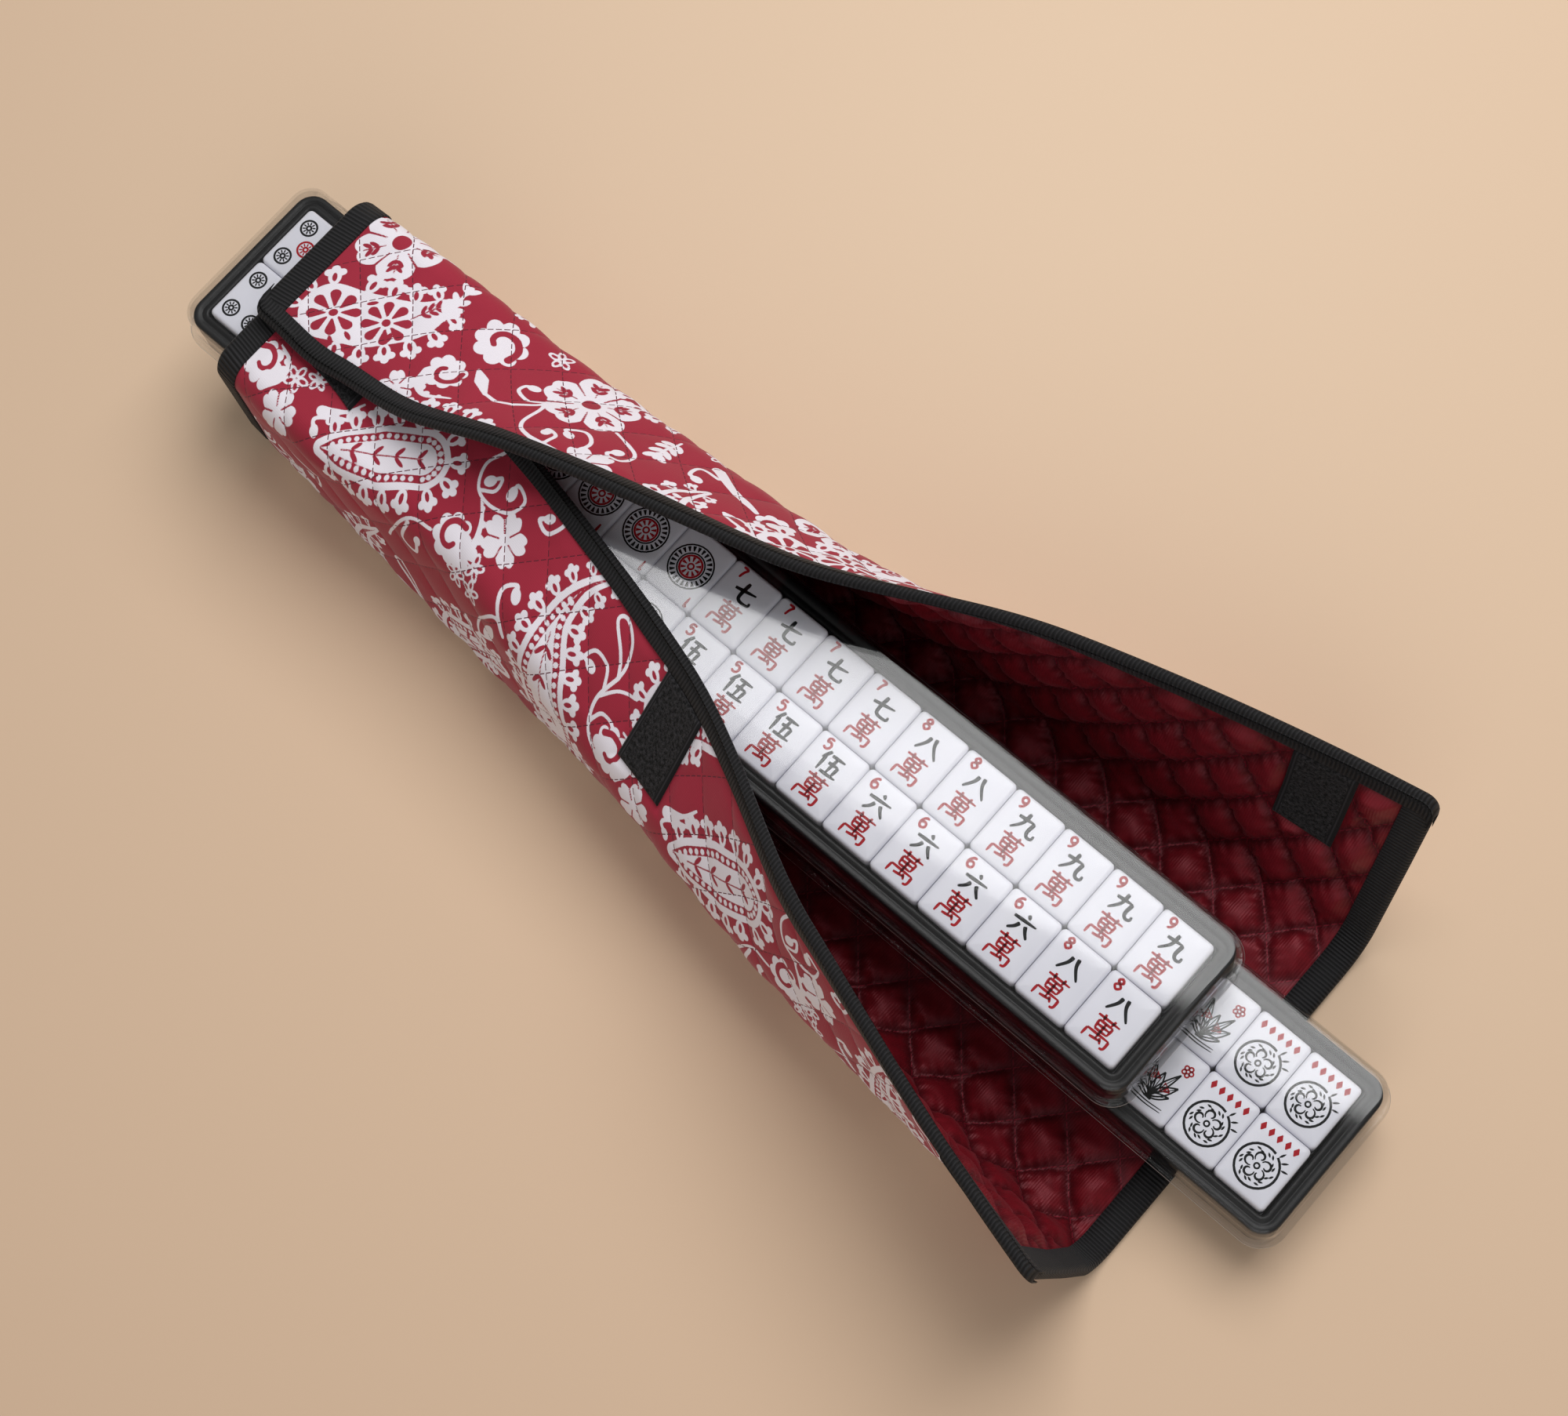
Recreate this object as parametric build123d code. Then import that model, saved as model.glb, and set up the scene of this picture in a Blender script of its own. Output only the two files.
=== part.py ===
from build123d import *
import os
from math import cos, radians, sin

os.makedirs("parts", exist_ok=True)

# A quilted cloth sleeve, open at both ends, holding two stacked trays of mahjong tiles.
# X runs along the trays towards the open front end, Y across them, Z up.
# The origin is on the sleeve's underside at the middle of its length.

# ---------------------------------------------------------------- tiles
TILE_LENGTH = 28.0
TILE_WIDTH = 22.05
TILE_THICKNESS = 13.0
TILE_GAP_X = 0.15
TILE_GAP_Y = 0.17
TILE_GAP_Z = 0.05
TILE_COLUMNS = 20
TILE_EDGE_CHAMFER = 1.1
TILE_PITCH_X = TILE_WIDTH + TILE_GAP_X
TILE_PITCH_Y = TILE_LENGTH + TILE_GAP_Y

# ---------------------------------------------------------------- trays
CLEAR_WALL = 0.8
LID_PLATE = 1.0
INSERT_WALL = 0.8
INSERT_FLOOR = 0.6
INSERT_CORNER_RADIUS = 8.0
INSERT_EDGE_CHAMFER = 1.0
INSERT_SKIRT_BASE = 5.5
RIM_WIDTH_ENDS = 7.1
RIM_WIDTH_SIDES = 6.43
WELL_CLEARANCE = 0.4
WELL_CORNER_RADIUS = 1.0
TILES_ABOVE_RIM = 2.95
INSERT_CLEARANCE_ENDS = 0.5
INSERT_CLEARANCE_SIDES = 0.7
LID_CLEARANCE = 0.85
TRAY_CORNER_RADIUS = 9.0
BASE_EDGE_CHAMFER = 4.5
LID_EDGE_CHAMFER = 2.2
FLANGE_REACH = 2.2
FLANGE_HEIGHT = 13.4
FLANGE_THICKNESS = 0.8
STACK_GAP = 0.3
TRAY_CLEARANCE = 0.4
UPPER_TRAY_CENTRE = -27.4
LOWER_TRAY_CENTRE = 40.8

# The well fits the tiles, the insert goes round the well, and the clear box goes round both.
WELL_LENGTH = TILE_COLUMNS * TILE_PITCH_X + 2 * WELL_CLEARANCE
WELL_WIDTH = 2 * TILE_PITCH_Y + 2 * WELL_CLEARANCE
INSERT_LENGTH = WELL_LENGTH + 2 * RIM_WIDTH_ENDS
INSERT_WIDTH = WELL_WIDTH + 2 * RIM_WIDTH_SIDES
TRAY_LENGTH = INSERT_LENGTH + 2 * (CLEAR_WALL + INSERT_CLEARANCE_ENDS)
TRAY_WIDTH = INSERT_WIDTH + 2 * (CLEAR_WALL + INSERT_CLEARANCE_SIDES)
FIRST_LAYER_LOW = CLEAR_WALL + INSERT_FLOOR
SECOND_LAYER_LOW = FIRST_LAYER_LOW + TILE_THICKNESS + TILE_GAP_Z
TILES_HIGH = SECOND_LAYER_LOW + TILE_THICKNESS
INSERT_RIM_HEIGHT = TILES_HIGH - TILES_ABOVE_RIM
TRAY_HEIGHT = TILES_HIGH + LID_CLEARANCE + LID_PLATE

# ---------------------------------------------------------------- cloth
CLOTH_THICKNESS = 4.0
SKIN_THICKNESS = 0.6
BINDING_WIDTH_LONG = 8.0
BINDING_WIDTH_END = 11.0
BINDING_WALL = 0.6
SLEEVE_OVERHANG = 0.2
FLANGE_CLEARANCE = 0.8
FRONT_RECEDE_SLOPE = 0.13
FRONT_RECEDE_POWER = 1.5
HINGE_HEIGHT = 12.0
HINGE_GAP = 0.45

HALF = CLOTH_THICKNESS / 2
CORE = HALF - SKIN_THICKNESS
SLEEVE_LENGTH = TRAY_LENGTH + 2 * SLEEVE_OVERHANG
REAR_X = -SLEEVE_LENGTH / 2
FRONT_X = SLEEVE_LENGTH / 2
REAR_HALF_WIDTH = TRAY_WIDTH / 2 + FLANGE_REACH + FLANGE_CLEARANCE + HALF
LOWER_TRAY_LOW = CLOTH_THICKNESS + TRAY_CLEARANCE
UPPER_TRAY_LOW = LOWER_TRAY_LOW + TRAY_HEIGHT + STACK_GAP
STACK_HIGH = UPPER_TRAY_LOW + TRAY_HEIGHT

# Each flap is described at six places, as shares of the sleeve's length from its rear end. At
# each one the cloth leaves the hinge line at a lean, runs straight, bends inwards and runs
# straight again to its edge. The bend starts at a height measured from the top of the stack, and
# wrap is how far the cloth reaches from the middle of the floor, less the height of the stack.
STATION_SHARES = [0.0, 0.091, 0.253, 0.491, 0.708, 1.0]
TOP_FLAP = {
    "side": 1,
    "front_half_width": 80.0,
    "wrap": [101.7, 100.5, 98.4, 95.3, 92.5, 88.7],
    "lean": [90.0, 92.0, 94.5, 97.5, 83.5, 58.5],
    "bend_height": [0.7, 1.4, -11.9, -6.7, 3.4, -21.5],
    "bend": [90.0, 87.5, 49.5, 29.5, 13.0, 1.5],
    "bend_radius": [8.0, 8.0, 14.0, 20.0, 30.0, 40.0],
}
UNDER_FLAP = {
    "side": -1,
    "front_half_width": 82.0,
    "wrap": [104.7, 103.2, 97.7, 96.7, 97.5, 98.7],
    "lean": [90.0, 91.5, 101.5, 85.0, 65.5, 74.0],
    "bend_height": [-5.5, -4.8, -6.7, -25.4, -37.6, -25.8],
    "bend": [90.0, 88.5, 68.5, 61.0, 43.5, 1.5],
    "bend_radius": [8.0, 8.0, 14.0, 20.0, 30.0, 40.0],
}
STATION_X = [REAR_X + share * SLEEVE_LENGTH for share in STATION_SHARES]
MIDDLE_SHARES = [0.091, 0.145, 0.199, 0.253, 0.333, 0.413, 0.491,
                 0.565, 0.636, 0.708, 0.781, 0.857, 0.922]
MIDDLE_STATIONS = [REAR_X + share * SLEEVE_LENGTH for share in MIDDLE_SHARES]
BEND_SHARES = [0.25, 0.5, 0.75, 1.0]

# ---------------------------------------------------------------- hook-and-loop patches
PATCH_LENGTH = 24.0
PATCH_WIDTH = 38.0
PATCH_THICKNESS = 0.9
PATCH_MIDDLE = 2.5
PATCH_SPACING = 189.5
PATCH_BLOCK_HEIGHT = 60.0
PATCH_X = [PATCH_MIDDLE - PATCH_SPACING, PATCH_MIDDLE, PATCH_MIDDLE + PATCH_SPACING]


def ease(x, values):
    """Value at x of a smooth curve that passes through values and never overshoots them."""
    xs = STATION_X
    if x <= xs[0]:
        return values[0]
    if x >= xs[-1]:
        return values[-1]
    steps = [xs[i + 1] - xs[i] for i in range(len(xs) - 1)]
    rises = [(values[i + 1] - values[i]) / steps[i] for i in range(len(steps))]
    slopes = [rises[0]]
    for before, after in zip(rises[:-1], rises[1:]):
        if before * after <= 0:
            slopes.append(0.0)
        else:
            slopes.append(2 * before * after / (before + after))
    slopes.append(rises[-1])
    i = max(k for k in range(len(steps)) if xs[k] <= x)
    t = (x - xs[i]) / steps[i]
    start = (1 + 2 * t) * (1 - t) ** 2 * values[i] + t * (1 - t) ** 2 * steps[i] * slopes[i]
    end = t * t * (3 - 2 * t) * values[i + 1] - t * t * (1 - t) * steps[i] * slopes[i + 1]
    return start + end


def along(x, rear, front):
    """Straight-line value between the sleeve's rear and front ends."""
    return rear + (front - rear) * (x - REAR_X) / SLEEVE_LENGTH


class Section:
    """The middle line of one flap and its half of the floor in the plane at x, in Y and Z."""

    def __init__(self, flap, x):
        self.x = x
        self.side = flap["side"]
        self.hinge_y = along(x, REAR_HALF_WIDTH, flap["front_half_width"])
        self.lean = radians(ease(x, flap["lean"]))
        bend_low = STACK_HIGH + ease(x, flap["bend_height"])
        self.rise = (bend_low - HINGE_HEIGHT) / sin(self.lean)
        self.bend = radians(ease(x, flap["bend"]))
        self.bend_radius = ease(x, flap["bend_radius"])
        self.floor_radius = (HINGE_HEIGHT - HALF) / (1 - cos(self.lean))
        self.floor_y = self.hinge_y - self.floor_radius * sin(self.lean)
        self.floor_arc = self.floor_radius * self.lean
        reach = STACK_HIGH + ease(x, flap["wrap"])
        used = self.floor_y + self.floor_arc + self.rise + self.bend_radius * self.bend
        self.tail = reach - used

    def place(self, y, z):
        """A point of the section; towards the front the upper cloth lies further back."""
        share = max(0.0, (self.x - REAR_X) / SLEEVE_LENGTH)
        back = FRONT_RECEDE_SLOPE * share ** FRONT_RECEDE_POWER * max(0.0, z - HALF)
        return Vector(self.x - back, self.side * y, z)

    def floor_point(self, turned, offset):
        """Point on the bend between floor and flap; offset is measured inwards."""
        radius = self.floor_radius - offset
        height = HALF + self.floor_radius
        return self.place(self.floor_y + radius * sin(turned), height - radius * cos(turned))

    def rise_point(self, run, offset):
        y = self.hinge_y + run * cos(self.lean) - offset * sin(self.lean)
        z = HINGE_HEIGHT + run * sin(self.lean) + offset * cos(self.lean)
        return self.place(y, z)

    def bend_point(self, turned, offset):
        angle = self.lean + turned
        centre_y = self.hinge_y + self.rise * cos(self.lean) - self.bend_radius * sin(self.lean)
        centre_z = HINGE_HEIGHT + self.rise * sin(self.lean) + self.bend_radius * cos(self.lean)
        radius = self.bend_radius - offset
        return self.place(centre_y + radius * sin(angle), centre_z - radius * cos(angle))

    def tail_point(self, run, offset):
        angle = self.lean + self.bend
        radius = self.bend_radius - offset
        y = self.hinge_y + self.rise * cos(self.lean) - self.bend_radius * sin(self.lean)
        z = HINGE_HEIGHT + self.rise * sin(self.lean) + self.bend_radius * cos(self.lean)
        y += radius * sin(angle) + run * cos(angle)
        z += -radius * cos(angle) + run * sin(angle)
        return self.place(y, z)

    def flap_stops(self, offset):
        """Points of the flap's line at one offset, from the hinge line to the long binding."""
        binding_start = self.tail - BINDING_WIDTH_LONG
        points = [self.rise_point(self.rise * share, offset) for share in (0.0, 0.5, 1.0)]
        points += [self.bend_point(self.bend * share, offset) for share in BEND_SHARES]
        points += [self.tail_point(binding_start * share, offset) for share in (0.5, 1.0)]
        return points

    def floor_stops(self, offset):
        """Points of the bend below the flap at one offset, from the flat floor to the hinge."""
        stop = self.lean - HINGE_GAP / self.floor_radius
        return [self.floor_point(stop * share, offset) for share in [0.0] + BEND_SHARES]


def triangle(a, b, c):
    return Face(Wire.make_polygon([a, b, c], close=True))


def facets(corners, rising):
    """Two triangles on four corners of a cloth patch; all layers share one diagonal."""
    a, b, c, d = corners
    if rising:
        return [triangle(a, b, c), triangle(a, c, d)]
    return [triangle(a, b, d), triangle(b, c, d)]


def solid_from_loops(loops, rising, caps):
    """A closed solid through loops of points.

    rising says for each side of the loop which diagonal splits its patches, and caps lists the
    four-cornered pieces that close the first and last loop.
    """
    faces = []
    count = len(rising)
    for before, after in zip(loops[:-1], loops[1:]):
        for i in range(count):
            j = (i + 1) % count
            corners = (before[i], before[j], after[j], after[i])
            faces += facets(corners, rising[i])
    for loop in (loops[0], loops[-1]):
        for cap in caps:
            faces += facets([loop[i] for i in cap], True)
    return Solid(Shell(faces))


def strip(stations, stops_at, low, high):
    """A layer between two offsets; stops_at(x, offset) gives its line of points at x."""
    loops = [stops_at(x, low) + stops_at(x, high)[::-1] for x in stations]
    count = len(loops[0]) // 2
    rising = [True] * count + [False] * (count - 1) + [True]
    caps = [(i, i + 1, 2 * count - 2 - i, 2 * count - 1 - i) for i in range(count - 1)]
    return solid_from_loops(loops, rising, caps)


def channel(stations, point_at, walls_rise):
    """Tape folded round an edge; point_at(x, inset, offset) is a point inset from that edge.

    Here x is the place along the edge, whichever way the edge runs. walls_rise picks the
    diagonals of the tape's two walls, so that they lie flush on the batting between them.
    """
    profile = [(1, -HALF), (0, -HALF), (0, HALF), (1, HALF),
               (1, CORE), (BINDING_WALL, CORE), (BINDING_WALL, -CORE), (1, -CORE)]
    loops = [[point_at(x, inset, offset) for inset, offset in profile] for x in stations]
    rising = [True, True, False, False, walls_rise, False, not walls_rise, False]
    return solid_from_loops(loops, rising, [(0, 1, 6, 7), (1, 2, 5, 6), (2, 3, 4, 5)])


def stations_between(start, end):
    return [start] + MIDDLE_STATIONS + [end]


def flap_line(flap, trim):
    """Line of points across a flap up to its long binding, or on to trim from its edge."""
    def stops_at(x, offset):
        section = Section(flap, x)
        points = section.flap_stops(offset)
        if trim < BINDING_WIDTH_LONG:
            points.append(section.tail_point(section.tail - trim, offset))
        return points
    return stops_at


def floor_line(x, offset):
    """Line of points across the floor and the bends on both sides."""
    left = Section(UNDER_FLAP, x).floor_stops(offset)
    right = Section(TOP_FLAP, x).floor_stops(offset)
    return left[::-1] + right


def edge_binding(flap):
    """The tape along a flap's long edge."""
    def point_at(x, inset, offset):
        section = Section(flap, x)
        depth = BINDING_WIDTH_LONG if inset == 1 else inset
        return section.tail_point(section.tail - depth, offset)
    stations = stations_between(REAR_X + BINDING_WIDTH_END, FRONT_X - BINDING_WIDTH_END)
    stations = [REAR_X, REAR_X + BINDING_WALL] + stations + [FRONT_X - BINDING_WALL, FRONT_X]
    return channel(stations, point_at, True)


def end_binding(line, end_x):
    """The tape round one end of a panel, whose line of points is line(x, offset)."""
    at_rear = end_x == REAR_X
    inwards = 1 if at_rear else -1
    count = len(line(end_x, 0.0))

    def point_at(stop, inset, offset):
        depth = BINDING_WIDTH_END if inset == 1 else inset
        return line(end_x + inwards * depth, offset)[stop]
    return channel(range(count), point_at, not at_rear)


def write(name, *solids):
    """Write one node; pieces of the same kind go in together."""
    pieces = [piece for solid in solids for piece in solid.solids()]
    shape = pieces[0] if len(pieces) == 1 else Compound(children=pieces)
    export_step(shape, f"parts/{name}.step")
    print(name, len(pieces), "solid(s)")


def write_cloth(name, skin_line, core_line):
    """Write one panel of the sleeve: its three layers and the tape round its two ends."""
    skin = stations_between(REAR_X + BINDING_WIDTH_END, FRONT_X - BINDING_WIDTH_END)
    core = [REAR_X + BINDING_WALL] + skin + [FRONT_X - BINDING_WALL]
    write(f"{name}_cotton", strip(skin, skin_line, -HALF, -CORE))
    write(f"{name}_batting", strip(core, core_line, -CORE, CORE))
    write(f"{name}_lining", strip(skin, skin_line, CORE, HALF))
    write(f"{name}_binding_rear", end_binding(skin_line, REAR_X))
    write(f"{name}_binding_front", end_binding(skin_line, FRONT_X))


def patches(flap, low, high):
    """The hook or loop patches near a flap's edge, cut from the layer between two offsets."""
    stations = stations_between(REAR_X + BINDING_WIDTH_END, FRONT_X - BINDING_WIDTH_END)
    layer = strip(stations, flap_line(flap, BINDING_WIDTH_LONG), low, high)
    pieces = []
    for x in PATCH_X:
        section = Section(flap, x)
        angle = section.lean + section.bend
        across = Vector(0, section.side * cos(angle), sin(angle))
        middle = section.tail_point(section.tail - BINDING_WIDTH_LONG - PATCH_WIDTH / 2, 0)
        plane = Plane(origin=middle, x_dir=Vector(1, 0, 0), z_dir=Vector(1, 0, 0).cross(across))
        pieces.append(layer & plane * Box(PATCH_LENGTH, PATCH_WIDTH, PATCH_BLOCK_HEIGHT))
    return pieces


def rounded_block(length, width, low, high, radius):
    profile = RectangleRounded(length, width, radius)
    return Pos(0, 0, low) * extrude(profile, high - low)


def clear_base():
    """Lower half of a tray's clear box, with a thin flange round its mouth."""
    outer = rounded_block(TRAY_LENGTH, TRAY_WIDTH, 0, FLANGE_HEIGHT, TRAY_CORNER_RADIUS)
    outer = chamfer(outer.faces().sort_by(Axis.Z)[0].edges(), BASE_EDGE_CHAMFER)
    inner = rounded_block(TRAY_LENGTH - 2 * CLEAR_WALL, TRAY_WIDTH - 2 * CLEAR_WALL, CLEAR_WALL,
                          FLANGE_HEIGHT + 1, TRAY_CORNER_RADIUS - CLEAR_WALL)
    inner = chamfer(inner.faces().sort_by(Axis.Z)[0].edges(), BASE_EDGE_CHAMFER - CLEAR_WALL / 2)
    flange = rounded_block(TRAY_LENGTH + 2 * FLANGE_REACH, TRAY_WIDTH + 2 * FLANGE_REACH,
                           FLANGE_HEIGHT - FLANGE_THICKNESS, FLANGE_HEIGHT,
                           TRAY_CORNER_RADIUS + FLANGE_REACH)
    return (outer + flange) - inner


def clear_lid():
    """Upper half of a tray's clear box: a flat plate, its skirt and a matching flange."""
    outer = rounded_block(TRAY_LENGTH, TRAY_WIDTH, FLANGE_HEIGHT, TRAY_HEIGHT, TRAY_CORNER_RADIUS)
    outer = chamfer(outer.faces().sort_by(Axis.Z)[-1].edges(), LID_EDGE_CHAMFER)
    inner = rounded_block(TRAY_LENGTH - 2 * CLEAR_WALL, TRAY_WIDTH - 2 * CLEAR_WALL,
                          FLANGE_HEIGHT - 1, TRAY_HEIGHT - LID_PLATE,
                          TRAY_CORNER_RADIUS - CLEAR_WALL)
    inner = chamfer(inner.faces().sort_by(Axis.Z)[-1].edges(), LID_EDGE_CHAMFER - CLEAR_WALL / 2)
    flange = rounded_block(TRAY_LENGTH + 2 * FLANGE_REACH, TRAY_WIDTH + 2 * FLANGE_REACH,
                           FLANGE_HEIGHT, FLANGE_HEIGHT + FLANGE_THICKNESS,
                           TRAY_CORNER_RADIUS + FLANGE_REACH)
    return (outer + flange) - inner


def black_insert():
    """Thin formed insert: one long well for the tiles, a rounded rim and a hanging skirt."""
    floor_low = CLEAR_WALL
    block = rounded_block(INSERT_LENGTH, INSERT_WIDTH, floor_low, INSERT_RIM_HEIGHT,
                          INSERT_CORNER_RADIUS)
    block = chamfer(block.faces().sort_by(Axis.Z)[-1].edges(), INSERT_EDGE_CHAMFER)
    well = rounded_block(WELL_LENGTH, WELL_WIDTH, floor_low + INSERT_FLOOR,
                         INSERT_RIM_HEIGHT + 1, WELL_CORNER_RADIUS)
    under = rounded_block(INSERT_LENGTH - 2 * INSERT_WALL, INSERT_WIDTH - 2 * INSERT_WALL,
                          floor_low - 1, INSERT_RIM_HEIGHT - INSERT_WALL,
                          INSERT_CORNER_RADIUS - INSERT_WALL)
    under -= rounded_block(WELL_LENGTH + 2 * INSERT_WALL, WELL_WIDTH + 2 * INSERT_WALL,
                           floor_low - 2, INSERT_RIM_HEIGHT, WELL_CORNER_RADIUS + INSERT_WALL)
    foot = rounded_block(INSERT_LENGTH + 2, INSERT_WIDTH + 2, floor_low - 1, INSERT_SKIRT_BASE,
                         INSERT_CORNER_RADIUS)
    foot -= rounded_block(WELL_LENGTH + 2 * INSERT_WALL, WELL_WIDTH + 2 * INSERT_WALL,
                          floor_low - 2, INSERT_SKIRT_BASE + 1, WELL_CORNER_RADIUS + INSERT_WALL)
    return block - well - under - foot


def tiles(low):
    """One layer of tiles: two rows side by side."""
    tile = Box(TILE_WIDTH, TILE_LENGTH, TILE_THICKNESS)
    tile = chamfer(tile.edges().filter_by(Axis.Z), TILE_EDGE_CHAMFER)
    layer = []
    for row in (-1, 1):
        for column in range(TILE_COLUMNS):
            x = (column - (TILE_COLUMNS - 1) / 2) * TILE_PITCH_X
            layer.append(Pos(x, row * TILE_PITCH_Y / 2, low + TILE_THICKNESS / 2) * tile)
    return layer


def write_tray(name, centre_x, low):
    """Write the five pieces of one tray at its place in the stack."""
    place = Pos(centre_x, 0, low)
    write(f"{name}_clear_base", place * clear_base())
    write(f"{name}_black_insert", place * black_insert())
    write(f"{name}_clear_lid", place * clear_lid())
    write(f"{name}_tiles_lower_layer", *[place * tile for tile in tiles(FIRST_LAYER_LOW)])
    write(f"{name}_tiles_upper_layer", *[place * tile for tile in tiles(SECOND_LAYER_LOW)])


# ---------------------------------------------------------------- build
write_cloth("floor", floor_line, floor_line)
for flap_name, flap in (("top_flap", TOP_FLAP), ("under_flap", UNDER_FLAP)):
    write_cloth(flap_name, flap_line(flap, BINDING_WIDTH_LONG), flap_line(flap, BINDING_WALL))
    write(f"{flap_name}_binding_edge", edge_binding(flap))

write("loop_patches", *patches(TOP_FLAP, HALF, HALF + PATCH_THICKNESS))
write("hook_patches", *patches(UNDER_FLAP, -HALF - PATCH_THICKNESS, -HALF))

write_tray("lower_tray", LOWER_TRAY_CENTRE, LOWER_TRAY_LOW)
write_tray("upper_tray", UPPER_TRAY_CENTRE, UPPER_TRAY_LOW)
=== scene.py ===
# %% [markdown]
# This lesson dresses a mahjong case: a quilted cloth sleeve, open at both ends, round two stacked
# trays of tiles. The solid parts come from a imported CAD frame, in metres. Everything made here
# lies on that frame, so each size below repeats the frame's own.

import bpy
import numpy as np
from mathutils import Matrix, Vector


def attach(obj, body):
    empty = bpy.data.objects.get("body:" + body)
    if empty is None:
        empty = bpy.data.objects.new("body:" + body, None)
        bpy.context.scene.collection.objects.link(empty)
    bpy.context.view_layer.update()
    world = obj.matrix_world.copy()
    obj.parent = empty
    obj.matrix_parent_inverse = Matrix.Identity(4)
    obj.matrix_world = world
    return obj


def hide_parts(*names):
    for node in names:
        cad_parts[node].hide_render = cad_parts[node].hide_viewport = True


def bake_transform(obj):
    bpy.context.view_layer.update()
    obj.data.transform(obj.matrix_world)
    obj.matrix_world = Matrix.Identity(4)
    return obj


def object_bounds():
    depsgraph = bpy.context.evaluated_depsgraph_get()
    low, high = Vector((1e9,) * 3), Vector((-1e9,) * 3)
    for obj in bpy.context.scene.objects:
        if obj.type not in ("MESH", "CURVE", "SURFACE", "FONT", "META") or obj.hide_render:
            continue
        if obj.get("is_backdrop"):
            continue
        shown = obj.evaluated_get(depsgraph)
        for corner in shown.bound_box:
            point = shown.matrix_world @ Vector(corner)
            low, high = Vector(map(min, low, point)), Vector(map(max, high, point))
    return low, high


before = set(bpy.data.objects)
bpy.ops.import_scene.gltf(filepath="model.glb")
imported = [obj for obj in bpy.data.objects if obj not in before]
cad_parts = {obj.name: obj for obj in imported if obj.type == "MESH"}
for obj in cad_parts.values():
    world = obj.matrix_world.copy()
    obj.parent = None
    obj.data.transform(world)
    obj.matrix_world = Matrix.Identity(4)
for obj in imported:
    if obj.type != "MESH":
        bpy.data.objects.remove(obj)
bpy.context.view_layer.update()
MM = 0.001

# %% [markdown]
# The camera looks down on the case from about a metre, turned so that the case runs from the
# upper left to the lower right. It comes first, because it says which parts need the most care.

# %% Camera
CAMERA_PLACE = (0.27697, -0.17387, 1.02348)
CAMERA_RIGHT = np.array((0.74489, 0.66242, -0.07957))
CAMERA_UP = np.array((-0.61803, 0.73001, 0.29175))
camera_data = bpy.data.cameras.new("camera")
camera_data.lens = 64.8
camera_data.sensor_width = 36.0
camera = bpy.data.objects.new("camera", camera_data)
bpy.context.scene.collection.objects.link(camera)
turn = Matrix(np.array((CAMERA_RIGHT, CAMERA_UP, np.cross(CAMERA_RIGHT, CAMERA_UP))).T.tolist())
camera.matrix_world = Matrix.Translation(CAMERA_PLACE) @ turn.to_4x4()
bpy.context.scene.camera = camera
print("camera at", CAMERA_PLACE)

# %% [markdown]
# Colours are written as sRGB hex, as a designer picks them, and shaders want linear light. One
# function turns one into the other. Another adds a shader node, sets it up and links it.

# %% Colour and node helpers
def linear(code):
    """sRGB to linear light: a straight line near black, and a power of 2.4 above it."""
    value = np.array([int(code[i:i + 2], 16) / 255 for i in (1, 3, 5)])
    light = np.where(value <= 0.04045, value / 12.92, ((value + 0.055) / 1.055) ** 2.4)
    return (*light.tolist(), 1.0)


def add(tree, kind, inputs=None, **settings):
    """Adds one node; each input gets a value, or a link where a socket is given."""
    node = tree.nodes.new("ShaderNode" + kind)
    for name, value in settings.items():
        setattr(node, name, value)
    for name, value in (inputs or {}).items():
        if isinstance(value, bpy.types.NodeSocket):
            tree.links.new(value, node.inputs[name])
        else:
            node.inputs[name].default_value = value
    return node


def new_material(name):
    """An empty material: its tree, its Principled shader and its output."""
    material = bpy.data.materials.new(name)
    material.use_nodes = True
    tree = material.node_tree
    tree.nodes.clear()
    shader = add(tree, "BsdfPrincipled")
    output = add(tree, "OutputMaterial", {"Surface": shader.outputs[0]})
    return material, tree, shader, output


def math(tree, operation, *values):
    """The result of one Math node."""
    node = add(tree, "Math", dict(enumerate(values)), operation=operation)
    return node.outputs[0]


print("crimson in linear light:", linear("#A31E38")[:3])

# %% [markdown]
# A surface here is a grid of points worked out with numpy. Two helpers turn a grid into faces
# and points into a mesh object with its own UV map.

# %% Mesh helpers
def grid_quads(rows, columns, wrap=False):
    """Corner numbers of the quads of a grid, row by row; wrap joins the last column to the first."""
    across = columns if wrap else columns - 1
    i, j = np.meshgrid(np.arange(rows - 1), np.arange(across), indexing="ij")
    k = (j + 1) % columns
    return np.stack([i * columns + j, i * columns + k, (i + 1) * columns + k,
                     (i + 1) * columns + j], -1).reshape(-1, 4)


def mesh_object(name, points, faces, materials, uv=None, slots=None, smooth=True):
    """A mesh object from points in metres; uv is one pair a point, slots one number a face."""
    mesh = bpy.data.meshes.new(name)
    mesh.from_pydata(np.asarray(points).tolist(), [], [list(map(int, f)) for f in faces])
    for material in materials:
        mesh.materials.append(material)
    if uv is not None:
        layer = mesh.uv_layers.new(name="cloth")
        corners = np.zeros(len(mesh.loops), np.int32)
        mesh.loops.foreach_get("vertex_index", corners)
        layer.uv.foreach_set("vector", np.asarray(uv)[corners].astype(np.float32).ravel())
    if slots is not None:
        mesh.polygons.foreach_set("material_index", np.asarray(slots, np.int32))
    mesh.polygons.foreach_set("use_smooth", np.full(len(mesh.polygons), smooth))
    mesh.update()
    piece = bpy.data.objects.new(name, mesh)
    bpy.context.scene.collection.objects.link(piece)
    return piece


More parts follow.
